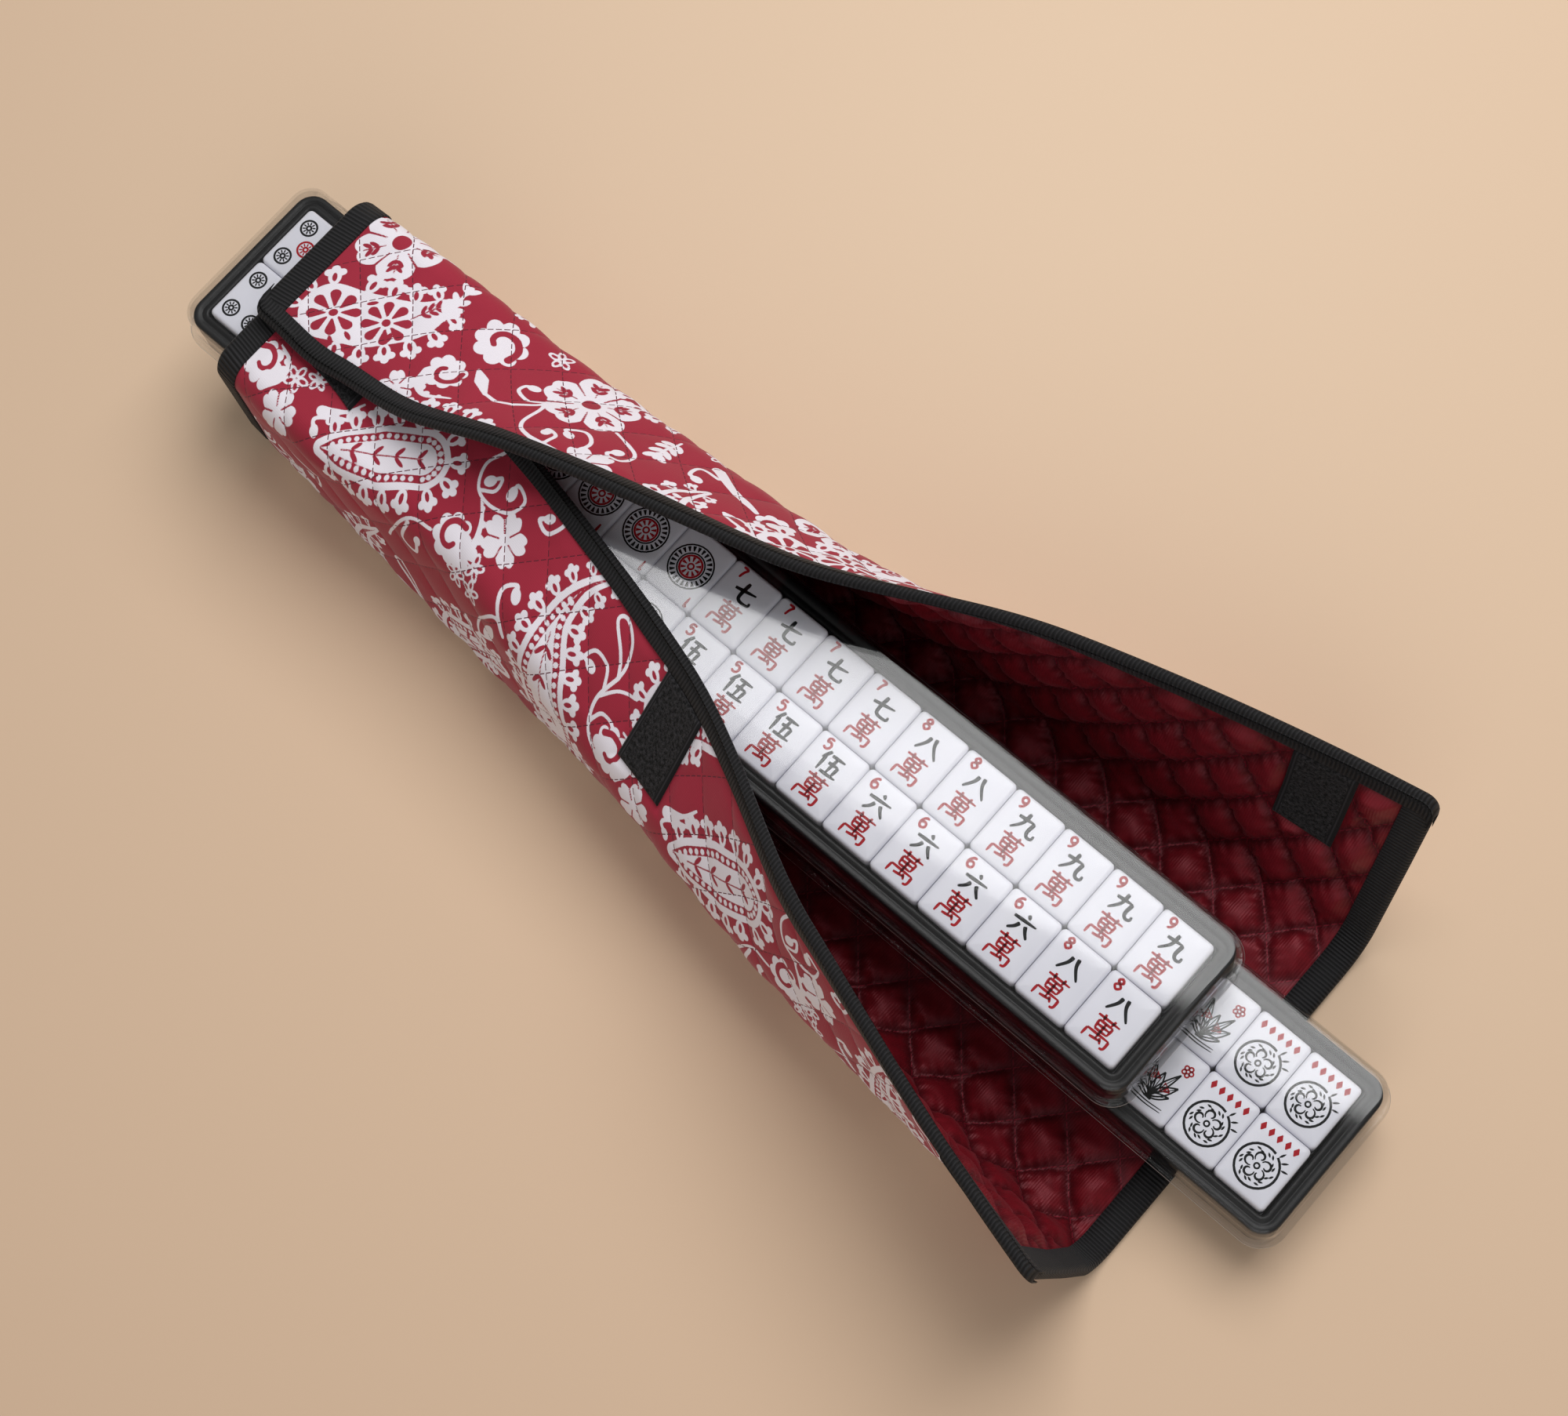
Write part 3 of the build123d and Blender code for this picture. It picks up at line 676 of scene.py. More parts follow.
def paisley(ink, spine, half, fringe=8.2, solid=False):
    """A tapering drop along a spine, inside a fringe of tulips.

    From outside: a white rim, a red channel with white beads in it, and a white heart with a
    leafed vein cut out. A solid one is white all over, for other cuts.
    """
    path = smooth_line(spine)
    widths = np.interp(np.linspace(0, 1, len(path)), np.linspace(0, 1, len(spine)), half)
    step = np.gradient(path)
    normal = 1j * step / abs(step)
    half = np.array(half)
    ink.line(spine, half)
    if not solid:
        ink.line(spine, np.maximum(half - RIM, 0.01), cut=True)
        ink.line(spine, np.maximum(half - RIM - CHANNEL, 0.01))
        core = path[widths > RIM + CHANNEL + 1.6]
        if len(core) > 4:
            ink.line(core[::3], 0.3, cut=True)
            for k in range(2, len(core) - 1, 4):
                along = core[k] - core[k - 1]
                for side in (1, -1):
                    leaf = along / abs(along) * np.exp(0.75j * side)
                    ink.oval(core[k] + 2.9 * leaf, leaf, 2.5, 0.85, cut=True)
    layers = [(fringe * 1.06, 0.2, "fringe")]
    if not solid:
        layers.append((BEAD_PITCH, -RIM - CHANNEL / 2, "bead"))
    for side in (1, -1):
        for gap, inset, draw in layers:
            rim = path + side * normal * np.maximum(widths + inset, 0)
            far = np.concatenate([[0], np.cumsum(abs(np.diff(rim)))])
            for place in np.arange(gap / 2, far[-1] - gap / 4, gap):
                wide = np.interp(place, far, widths)
                foot = np.interp(place, far, rim.real) + 1j * np.interp(place, far, rim.imag)
                if draw == "fringe":
                    k = min(np.searchsorted(far, place), len(normal) - 1)
                    toward = side * normal[k] - 0.25 * step[k] / abs(step[k])
                    tulip(ink, foot, toward, fringe * min(1, 0.55 + wide / 12))
                elif wide > 4.2:
                    ink.disc(foot, BEAD)
    head, forward, end = path[-1], step[-1] / abs(step[-1]), widths[-1]
    if end > 5:
        for angle in np.linspace(-1.25, 1.25, 4 if end < 10 else 5):
            toward = forward * np.exp(1j * angle)
            tulip(ink, head + end * toward, toward, fringe)
        for angle in np.linspace(-1.4, 1.4, 9) if not solid else ():
            ink.disc(head + (end - RIM - CHANNEL / 2) * forward * np.exp(1j * angle), BEAD)


# %% [markdown]
# The cloth repeats every 202 mm along the sleeve. One list of shapes for each flap follows the
# real print's layout there, and copies of it fill the length and the sides of the sleeve.

# %% Lay out the print
REPEAT = 202.0


def under_repeat(ink):
    """One repeat of the print as it falls on the lower flap."""
    curl(ink, -215 + 112j, 7.5, 2.6, -1, [-209 + 106j, -205 + 112j, -207 + 119j, -214 + 121j])
    daisy(ink, -200 + 117j, 5.0)
    daisy(ink, -193 + 123j, 4.2, 0.9)
    clover(ink, -197 + 104j, 8.0, 0.4)
    ink.line([-172 + 129j, -176 + 122j, -183 + 116j], [0.5, 0.8, 2.2])
    tendril(ink, [-172 + 121j, -178 + 117j, -183 + 112j, -180 + 109j], 0.7, 1.8)
    paisley(ink, [-174 + 107j, -165 + 112j, -152 + 120j, -139 + 129j], [3.0, 8.0, 12.0, 11.5])
    tendril(ink, [-119 + 114j, -130 + 110j, -137 + 96j, -139 + 90j], 0.6, 0.8)
    tendril(ink, [-129 + 109j, -131 + 98j, -124 + 97j, -123 + 105j], 0.8, 1.8)
    curl(ink, -110 + 118j, 7.8, 1.2, 1, [-104 + 113j, -101 + 121j, -104 + 129j, -111 + 136j])
    clover(ink, -93 + 132j, 9.5, 0.5)
    tendril(ink, [-115 + 153j, -118 + 145j, -114 + 137j, -106 + 136j, -98 + 140j, -96 + 147j,
                  -102 + 149j, -102 + 145j], 0.65, 2.4)
    tendril(ink, [-113 + 137j, -108 + 141j, -109 + 146j, -112 + 142j], 0.65, 2.2)
    tendril(ink, [-93 + 160j, -84 + 160j, -78 + 154j, -81 + 146j, -87 + 147j, -84 + 150j], 0.75, 2.0)
    for place in (-96 + 117j, -102 + 109j, -93 + 109j):
        daisy(ink, place, 4.4, 0.5)
    sprig(ink, [-22 + 96j, -25 + 90j, -27 + 84j], 4.6, 4)
    paisley(ink, [-47 + 158j, -56 + 144j, -58 + 128j, -53 + 112j, -47 + 94j, -46 + 80j],
            [1.2, 3.4, 6.2, 11.0, 16.0, 15.0], 7.8)
    tendril(ink, [-73 + 107j, -79 + 113j, -82 + 120j, -78 + 125j, -76 + 122j], 0.75, 2.4)
    ink.line([-73 + 107j, -80 + 110j, -88 + 98j, -88 + 88j, -80 + 92j], 0.7)
    ink.oval(-82 + 97j, 0.4 + 1j, 8.0, 2.6)
    tendril(ink, [-17 + 105j, -25 + 111j, -28 + 121j, -25 + 133j], 0.75, 0.9)
    ink.line([-25 + 133j, -30 + 140j, -38 + 147j, -35 + 150j, -28 + 146j, -25 + 138j,
              -25 + 133j], 0.7)
    tendril(ink, [-27 + 125j, -31 + 132j, -38 + 133j, -41 + 128j, -37 + 127j], 0.7, 2.2)
    tendril(ink, [-26 + 113j, -23 + 119j, -17 + 119j, -15 + 115j, -18 + 115j], 0.7, 2.0)
    paisley(ink, [-1 + 128j, -2 + 140j, 10 + 150j, 26 + 154j], [3.0, 10.0, 9.0, 3.0], 7.4)
    ink.line([-28 + 122j, -22 + 130j, -14 + 134j], 0.6)


def upper_repeat(ink):
    """One repeat of the print as it falls on the upper flap."""
    blossom(ink, -205 + 112j, 16.0, 1.05)
    paisley(ink, [-172 + 120j, -178 + 134j, -191 + 144j, -206 + 149j], [2.0, 7.5, 11.5, 12.0], 8.6,
            solid=True)
    wheel_cut(ink, -186 + 142j, 8.2)
    wheel_cut(ink, -205 + 149j, 8.6)
    leafed_vein(ink, -180 + 135j, -173 + 122j, 2.0, 3)
    for place, angle in ((-196 + 138j, 2.4), (-194 + 154j, 3.6), (-198 + 159j, 3.9), (-181 + 146j, 1.2)):
        ink.oval(place, np.exp(1j * angle), 2.2, 0.9, cut=True)
    sprig(ink, [-170 + 128j, -171 + 122j, -172 + 113j], 3.4, 4)
    curl(ink, -153 + 144j, 7.4, -0.6, 1, [-159 + 148j, -158 + 154j, -151 + 157j, -142 + 153j])
    clover(ink, -163 + 160j, 7.5, 0.2)
    curl(ink, -148 + 120j, 9.6, 0.5, -1)
    ink.line([-145 + 135j, -140 + 139j, -134 + 144j], [0.8, 2.6, 0.8])
    ink.line([-134 + 144j, -127 + 144j, -118 + 138j, -115 + 133j], 0.7)
    tendril(ink, [-115 + 132j, -121 + 136j, -127 + 134j, -127 + 130j, -124 + 129j], 0.7, 2.0)
    ink.line([-118 + 126j, -114 + 138j, -113 + 150j, -106 + 156j, -94 + 158j], [0.9, 0.7, 0.7, 0.8, 1.4])
    tendril(ink, [-99 + 157j, -99 + 150j, -104 + 147j, -103 + 150j], 0.7, 2.0)
    tendril(ink, [-89 + 154j, -88 + 145j, -94 + 139j, -100 + 142j, -97 + 145j], 0.75, 2.2)
    blossom(ink, -105 + 121j, 17.0, 0.55)
    clover(ink, -82 + 157j, 10.5, 0.1)
    tendril(ink, [-88 + 129j, -80 + 133j, -74 + 138j, -75 + 146j, -81 + 145j, -79 + 141j], 0.7, 2.1)
    sprig(ink, [-71 + 113j, -71 + 122j, -70 + 130j], 4.0, 4)
    paisley(ink, [-44 + 137j, -48 + 150j, -46 + 168j], [1.6, 4.6, 8.0], 7.2)
    tendril(ink, [-48 + 124j, -56 + 123j, -56 + 130j, -52 + 132j], 0.8, 2.2)
    ink.line([-52 + 117j, -44 + 123j, -34 + 128j, -26 + 133j], [2.6, 2.2, 1.5, 0.9])
    curl(ink, -17 + 135j, 7.0, 0.8, 1)
    ink.line([-32 + 145j, -26 + 144j, -18 + 149j, -14 + 158j, -20 + 152j, -27 + 149j, -32 + 145j], 0.7)
    curl(ink, -26 + 161j, 5.5, 2.0, -1)
    daisy(ink, -129 + 108j, 4.6)
    daisy(ink, -58 + 108j, 4.4)
    paisley(ink, [-154 + 172j, -132 + 168j, -112 + 172j], [4.0, 8.5, 4.0], 7.4)


def print_on(half):
    """The print's distances on the outer points of one half."""
    x, s = quilt_grid(half)
    ink = Ink(x, s)
    draw, lower = (upper_repeat, 54j) if half["side"] > 0 else (under_repeat, 78j)
    for number in (0, 1, 2):
        ink.shift = number * REPEAT
        draw(ink)
        for row, half_step in ((0, 0.5), (1, 0.0)):
            ink.shift = (number - half_step) * REPEAT - lower - 78j * row
            under_repeat(ink)
    return ink.distance


quilts = {}
for key, body in (("top", "top_flap"), ("under", "under_flap")):
    piece, x, s = quilts[key] = quilt_half(f"quilt_{key}_half", HALVES[key])
    layer = piece.data.attributes.new("print", "FLOAT", "POINT")
    distance = print_on(HALVES[key]).ravel()
    lining_points = len(piece.data.vertices) - len(distance)
    values = np.concatenate([distance, np.full(lining_points, 6.0)]).astype(np.float32)
    layer.data.foreach_set("value", values)
    print(piece.name, len(piece.data.vertices), "points, inked", round((distance < 0).mean(), 2))

# %% [markdown]
# Every raw edge is bound with a black grosgrain tape, folded round it and sewn through. Grosgrain
# has thick weft cords, so it shows fine ribs straight across the tape. The tape is a profile, a
# flat U with soft corners, carried along the edge of the cloth.

# %% Binding tape
tape, tree, shader, output = new_material("polyester grosgrain tape")
tape_place, tape_x, tape_s = cloth_coordinates(tree)
# The cords lie 1 mm apart along the tape, which is the first coordinate of its own map; they
# are drawn 1.5 mm apart so that they show.
cord = add(tree, "TexWave", {"Vector": tape_place, "Scale": 0.21, "Distortion": 0.4},
           bands_direction="X")
black = add(tree, "MixRGB", {0: cord.outputs[1], 1: linear("#040405"), 2: linear("#242325")})
tree.links.new(black.outputs[0], shader.inputs["Base Color"])
shader.inputs["Roughness"].default_value = 0.7
shader.inputs["Specular IOR Level"].default_value = 0.3
shader.inputs["Sheen Weight"].default_value = 0.04
relief = add(tree, "Bump", {"Height": cord.outputs[1], "Strength": 0.9, "Distance": 0.0004})
tree.links.new(relief.outputs[0], shader.inputs["Normal"])

def tape_profile(width, thick):
    """Inset from the edge and offset from the middle of the cloth, all the way round a U."""
    turn = np.linspace(-np.pi / 2, np.pi / 2, 7)
    outside_inset = np.concatenate([[width, width * 0.97, width * 0.6, width * 0.25],
                                    thick - thick * np.cos(turn) - 0.0,
                                    [width * 0.25, width * 0.6, width * 0.97, width]])
    outside_offset = np.concatenate([[-thick * 0.8, -thick, -thick, -thick], thick * np.sin(turn),
                                     [thick, thick, thick, thick * 0.8]])
    inside_inset = np.array([width, TAPE_WALL * 2, TAPE_WALL * 2, width])
    inside_offset = np.array([1, 1, -1, -1]) * (thick - TAPE_WALL)
    return (np.concatenate([outside_inset, inside_inset]),
            np.concatenate([outside_offset, inside_offset]))


def tape_object(name, points, lengths, flip):
    """A closed tape from rows of profile points; the rows run along it, and two caps end it."""
    rows, around = points.shape[:2]
    quads = grid_quads(rows, around, wrap=True)
    caps = [list(range(around))[::-1], [(rows - 1) * around + i for i in range(around)]]
    faces = quads.tolist() + caps
    if flip:
        faces = [face[::-1] for face in faces]
    across = np.concatenate([[0], np.cumsum(np.linalg.norm(np.diff(points[0], axis=0), axis=-1))])
    uv = np.stack(np.broadcast_arrays(lengths[:, None], across[None, :]), -1).reshape(-1, 2) * MM
    return mesh_object(name, points.reshape(-1, 3) * MM, faces, [tape], uv)


tapes = []
for key, body in (("top", "top_flap"), ("under", "under_flap")):
    half = HALVES[key]
    inset, offset = tape_profile(TAPE_LONG, 2.4)
    x = np.concatenate([REAR_X + np.linspace(0, 6, 7)[:-1] ** 1.5 / 6 ** 0.5,
                        np.linspace(REAR_X + 6, FRONT_X - 6, 226),
                        FRONT_X - np.linspace(0, 6, 7)[-2::-1] ** 1.5 / 6 ** 0.5])
    wander = 0.35 * ripple(x, 0 * x, 60, 11 + len(key))
    depth = inset + np.where(inset > 4, wander[:, None], 0)
    rows = cloth(half, x[:, None], edge(half, x)[:, None] - depth, offset)
    piece = tape_object(f"{key}_long_tape", rows, x, half["side"] < 0)
    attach(piece, body)
    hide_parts(f"{body}_binding_edge")
    tapes.append(piece)
    for end, end_x, inwards in (("rear", REAR_X, 1), ("front", FRONT_X, -1)):
        inset, offset = tape_profile(TAPE_END, 2.2)
        last = reach(half, end_x) - CORNER
        s = np.linspace(0, last, 140)
        rows = cloth(half, end_x + inwards * inset[None, :], s[:, None], offset)
        piece = tape_object(f"{key}_{end}_tape", rows, s, (half["side"] > 0) != (inwards > 0))
        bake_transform(piece)
        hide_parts(f"{body}_binding_{end}", f"floor_binding_{end}")
        tapes.append(piece)
print("tapes:", [piece.name for piece in tapes])

# %% [markdown]
# Three pairs of hook-and-loop patches hold the flaps shut: loops inside the upper flap and hooks
# on the outside of the lower one. Each is a woven square with a flat selvage round it, sewn on
# near its edge, with a short dense pile in the middle.

# %% Hook-and-loop patches
pile, tree, shader, output = new_material("nylon hook-and-loop pile")
pile_place, pile_x, pile_s = cloth_coordinates(tree)
# The loops are 0.5 mm; they are drawn 1.4 mm wide so that they show.
tuft = add(tree, "TexNoise", {"Vector": pile_place, "Scale": 0.7, "Detail": 3.0, "Roughness": 0.7})
nub = add(tree, "MapRange", {"Value": tuft.outputs[0], "From Min": 0.42, "From Max": 0.66})
from_edge = math(tree, "SUBTRACT", PATCH_LONG / 2, math(tree, "ABSOLUTE", pile_x))
inside = add(tree, "MapRange", {"Value": from_edge, "From Min": 2.2, "From Max": 2.6})
sewn_line = math(tree, "LESS_THAN",
                 math(tree, "ABSOLUTE", math(tree, "SUBTRACT", from_edge, 1.5)), 0.3)
nap = add(tree, "MixRGB", {0: nub.outputs[0], 1: linear("#050506"), 2: linear("#363437")})
woven = add(tree, "MixRGB", {0: sewn_line, 1: linear("#111012"), 2: linear("#2C2A2D")})
patch_colour = add(tree, "MixRGB", {0: inside.outputs[0], 1: woven.outputs[0],
                                    2: nap.outputs[0]})
tree.links.new(patch_colour.outputs[0], shader.inputs["Base Color"])
shader.inputs["Roughness"].default_value = 0.85
shader.inputs["Specular IOR Level"].default_value = 0.25
shader.inputs["Sheen Weight"].default_value = 0.05
tuft_height = math(tree, "MULTIPLY", nub.outputs[0], inside.outputs[0])
relief = add(tree, "Bump", {"Height": tuft_height, "Strength": 0.9, "Distance": 0.0006})
tree.links.new(relief.outputs[0], shader.inputs["Normal"])


def patch_piece(name, half, middle_x, sign):
    """A slab that follows the cloth, with rounded sides; sign 1 lies on the lining."""
    u = np.linspace(-1, 1, 29)
    v = np.linspace(-1, 1, 43)
    u, v = np.meshgrid(u, v, indexing="ij")
    x = middle_x + u * PATCH_LONG / 2
    s = reach(half, x) - TAPE_LONG - PATCH_ACROSS / 2 + v * PATCH_ACROSS / 2
    rim = np.clip((1 - np.maximum(abs(u), abs(v) * 1.0)) / 0.08, 0, 1) ** 0.5
    top = cloth(half, x, s, sign * (1.9 + 0.35 + 0.65 * rim))
    low = cloth(half, x, s, sign * 1.7)
    quads = grid_quads(29, 43)
    number = np.arange(29 * 43).reshape(29, 43)
    loop = np.concatenate([number[0, :-1], number[:-1, -1], number[-1, :0:-1], number[:0:-1, 0]])
    following = np.roll(loop, -1)
    strip = np.stack([following, loop, loop + number.size, following + number.size], -1)
    faces = np.concatenate([quads, quads[:, ::-1] + number.size, strip])
    if (half["side"] > 0) == (sign > 0):
        faces = faces[:, ::-1]
    place = np.stack([u * PATCH_LONG / 2, v * PATCH_ACROSS / 2], -1).reshape(-1, 2) * MM
    points = np.concatenate([top.reshape(-1, 3), low.reshape(-1, 3)]) * MM
    return mesh_object(name, points, faces, [pile], np.concatenate([place, place]))


for key, body, sign, node in (("top", "top_flap", 1, "loop_patches"),
                              ("under", "under_flap", -1, "hook_patches")):
    for number, middle_x in enumerate(PATCH_X):
        patch = patch_piece(f"{node}_{number}", HALVES[key], middle_x, sign)
        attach(patch, body)
        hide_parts(node)
print("patches at", PATCH_X)

# %% [markdown]
# The rest of the quilt is set here: each half is fixed in place, and stands for the cotton, wadding and
# lining solids of the frame, which are hidden.

# %% Hang the quilt
for key, body in (("top", "top_flap"), ("under", "under_flap")):
    piece = quilts[key][0]
    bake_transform(piece)
    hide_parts(*[f"{part}_{layer}" for part in (body, "floor")
                         for layer in ("cotton", "batting", "lining")])

# %% [markdown]
# Each tray is a clear box in two halves round a black formed insert. All of them are shells with
# rounded corners, so one function makes them: it carries a profile, in from the side and up,
# round a rounded rectangle, and closes it top and bottom.

# %% Rounded shells
def rounded_ring(length, width, radius, steps):
    """Points round a rectangle with rounded corners: an arc a corner, and points on the sides."""
    turn = np.linspace(0, np.pi / 2, steps)
    parts = []
    for quarter in range(4):
        sign_x, sign_y = ((1, 1), (-1, 1), (-1, -1), (1, -1))[quarter]
        angle = turn + quarter * np.pi / 2
        parts.append(np.stack([sign_x * (length / 2 - radius) + radius * np.cos(angle),
                               sign_y * (width / 2 - radius) + radius * np.sin(angle)], -1))
    return np.concatenate(parts)


def shell(profile, length, width, radius, steps=9):
    """Points and faces of a solid whose outline, inset by a, lies at height z, for each (a, z)."""
    rings = []
    for inset, z in profile:
        ring = rounded_ring(length - 2 * inset, width - 2 * inset, max(radius - inset, 0.3), steps)
        rings.append(np.column_stack([ring, np.full(len(ring), z)]))
    points = np.concatenate(rings)
    around = len(rings[0])
    faces = grid_quads(len(rings), around, wrap=True).tolist()
    faces.append(list(range(around))[::-1])
    faces.append([(len(rings) - 1) * around + i for i in range(around)])
    return points, faces


def arc(centre_inset, centre_z, radius, start, stop, steps=6):
    """Profile points on a circle; angles in degrees, 0 towards larger inset, 90 up."""
    turn = np.radians(np.linspace(start, stop, steps))
    return list(zip(centre_inset + radius * np.cos(turn), centre_z + radius * np.sin(turn)))


TRAY_LONG, TRAY_ACROSS, TRAY_TALL, TRAY_CORNER = 461.6, 73.0, 29.3, 9.0
TRAYS = {"upper_tray": (-27.4, 34.0), "lower_tray": (40.8, 4.4)}
print("tray ring has", len(rounded_ring(TRAY_LONG, TRAY_ACROSS, TRAY_CORNER, 9)), "points")

# %% [markdown]
# The clear halves are vacuum-formed from PET sheet. Formed sheet is glossy on both sides, with
# slight waves where it cooled unevenly, and bright lines where it bends. Light passes straight
# through it to the tiles, so shadow rays see it as open.

# %% Clear trays
clear, tree, shader, output = new_material("vacuum-formed clear PET")
tree.nodes.remove(shader)
clear_place = add(tree, "TexCoord").outputs["Object"]
waves = add(tree, "TexNoise", {"Vector": clear_place, "Scale": 14.0, "Detail": 0.0})
relief = add(tree, "Bump", {"Height": waves.outputs[0], "Strength": 0.2, "Distance": 0.0006})
gloss = add(tree, "BsdfGlossy", {"Roughness": 0.04, "Normal": relief.outputs[0]})
gloss.inputs["Color"].default_value = (0.97, 0.97, 0.97, 1.0)
see_through = add(tree, "BsdfTransparent", {"Color": (0.965, 0.965, 0.965, 1.0)})
# A face of the sheet mirrors 2.4% head on and all of it edge on, alike from both sides: the
# share between grows with the fifth power of the slant.
slant = add(tree, "LayerWeight", {"Blend": 0.5}).outputs["Facing"]
steep = math(tree, "POWER", slant, 5.0)
mirrored = math(tree, "ADD", math(tree, "MULTIPLY", steep, 0.976), 0.024)
shine = add(tree, "MixShader", {0: mirrored, 1: see_through.outputs[0],
                                2: gloss.outputs[0]})
shadow = add(tree, "LightPath").outputs["Is Shadow Ray"]
passing = add(tree, "BsdfTransparent", {"Color": (0.97, 0.97, 0.97, 1.0)})
film = add(tree, "MixShader", {0: shadow, 1: shine.outputs[0], 2: passing.outputs[0]})
tree.links.new(film.outputs[0], output.inputs["Surface"])

# The trimmed rim of the flange is rough from the cut, so it scatters light and looks milky.
cut_edge, tree, shader, output = new_material("trimmed edge of clear PET")
shader.inputs["Base Color"].default_value = linear("#E8E2E0")
shader.inputs["Roughness"].default_value = 0.35
edge_glow = add(tree, "BsdfTransparent", {"Color": (0.97, 0.97, 0.97, 1.0)})
half_clear = add(tree, "MixShader", {0: 0.5, 1: edge_glow.outputs[0], 2: shader.outputs[0]})
tree.links.new(half_clear.outputs[0], output.inputs["Surface"])

WALL, MOUTH_Z, FLANGE = 0.8, 13.4, 2.2


def base_profile():
    """Outside: floor, round foot, wall, flange. Inside: the same, one wall thickness in."""
    outside = [(30.0, 0.0), (4.6, 0.0)] + arc(4.2, 4.2, 4.2, 265, 185, 7)
    outside += [(0.0, MOUTH_Z - 1.6), (-0.3, MOUTH_Z - 0.9), (-1.0, MOUTH_Z - WALL),
                (-FLANGE, MOUTH_Z - WALL), (-FLANGE, MOUTH_Z)]
    inside = [(0.4, MOUTH_Z), (WALL, MOUTH_Z - 0.5)] + arc(4.2, 4.2, 3.4, 185, 265, 7)
    return outside + inside + [(4.6, WALL), (30.0, WALL)]


def lid_profile():
    """Inside first, up from the mouth and under the plate, then back over the plate and down."""
    inside = [(30.0, TRAY_TALL - 1.0), (3.0, TRAY_TALL - 1.0)]
    inside += arc(2.8, TRAY_TALL - 2.8, 1.8, 100, 175, 6)[0:] + [(WALL, MOUTH_Z + 0.6)]
    inside += [(0.4, MOUTH_Z), (-FLANGE, MOUTH_Z)]
    outside = [(-FLANGE, MOUTH_Z + WALL), (-1.0, MOUTH_Z + WALL), (-0.3, MOUTH_Z + 0.9),
               (0.0, MOUTH_Z + 1.6)] + arc(2.6, TRAY_TALL - 2.6, 2.6, 180, 95, 8)
    return inside + outside + [(3.0, TRAY_TALL), (30.0, TRAY_TALL)]


for tray, (centre, low) in TRAYS.items():
    for part, profile in (("clear_base", base_profile()), ("clear_lid", lid_profile())):
        points, faces = shell(profile, TRAY_LONG, TRAY_ACROSS, TRAY_CORNER)
        trimmed = [a == -FLANGE and b == -FLANGE for (a, _), (b, _) in zip(profile, profile[1:])]
        slots = np.zeros(len(faces))
        slots[:-2] = np.repeat(trimmed, (len(faces) - 2) // len(trimmed))
        piece = mesh_object(f"{tray}_{part}_film", (points + (centre, 0, low)) * MM, faces,
                            [clear, cut_edge], slots=slots)
        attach(piece, tray)
        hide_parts(f"{tray}_{part}")
print("clear halves on", list(TRAYS))

# %% [markdown]
# The black insert is formed from polystyrene sheet. Its surface carries the fine grain of the
# mould, so it is dark satin rather than glossy, and its rounded rim catches a soft grey line.

# %% Black inserts
black_sheet, tree, shader, output = new_material("vacuum-formed black polystyrene")
sheet_place = add(tree, "TexCoord").outputs["Object"]
grain = add(tree, "TexNoise", {"Vector": sheet_place, "Scale": 900.0, "Detail": 2.0})
relief = add(tree, "Bump", {"Height": grain.outputs[0], "Strength": 0.35, "Distance": 0.0002})
shader.inputs["Base Color"].default_value = linear("#0D0D0F")
shader.inputs["Roughness"].default_value = 0.42
shader.inputs["Specular IOR Level"].default_value = 0.3
tree.links.new(relief.outputs[0], shader.inputs["Normal"])

TILE_PITCH_X, TILE_PITCH_Y, TILE_COLUMNS = 22.2, 28.17, 20
INSERT_LONG, INSERT_ACROSS, INSERT_CORNER, RIM_Z = 459.0, 70.0, 8.0, 24.5
WELL_INSET_X = (INSERT_LONG - TILE_COLUMNS * TILE_PITCH_X - 0.8) / 2
WELL_INSET_Y = (INSERT_ACROSS - 2 * TILE_PITCH_Y - 0.8) / 2


def insert_profile():
    """Down the outside of the skirt is last; the well comes first, then the rim and its groove."""
    well = WELL_INSET_Y
    rim = [(30.0, 1.4), (well + 0.4, 1.4), (well, 1.8), (well, RIM_Z - 1.2)]
    rim += arc(well - 1.0, RIM_Z - 1.0, 1.0, 0, 90, 5)
    rim += [(well - 2.2, RIM_Z), (well - 2.6, RIM_Z - 0.5), (well - 3.2, RIM_Z - 0.5),
            (well - 3.6, RIM_Z)]
    rim += arc(1.2, RIM_Z - 1.2, 1.2, 90, 180, 5) + [(0.0, 5.5), (0.8, 5.5), (0.8, RIM_Z - 1.6)]
    return rim + [(1.6, RIM_Z - 0.9), (well - 1.6, RIM_Z - 0.9), (well - 0.8, RIM_Z - 1.6),
                  (well - 0.8, 0.8), (30.0, 0.8)]


for tray, (centre, low) in TRAYS.items():
    points, faces = shell(insert_profile(), INSERT_LONG, INSERT_ACROSS, INSERT_CORNER)
    piece = mesh_object(f"{tray}_insert", (points + (centre, 0, low)) * MM,
                        [face[::-1] for face in faces], [black_sheet])
    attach(piece, tray)
    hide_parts(f"{tray}_black_insert")
print("well insets:", WELL_INSET_X, round(WELL_INSET_Y, 2))

# %% [markdown]
# The tiles are moulded from melamine resin: a cool white, dense and glossy, with edges rounded by
# tumbling. One tile is a small shell, and every tile of a layer is a copy of it in one mesh.

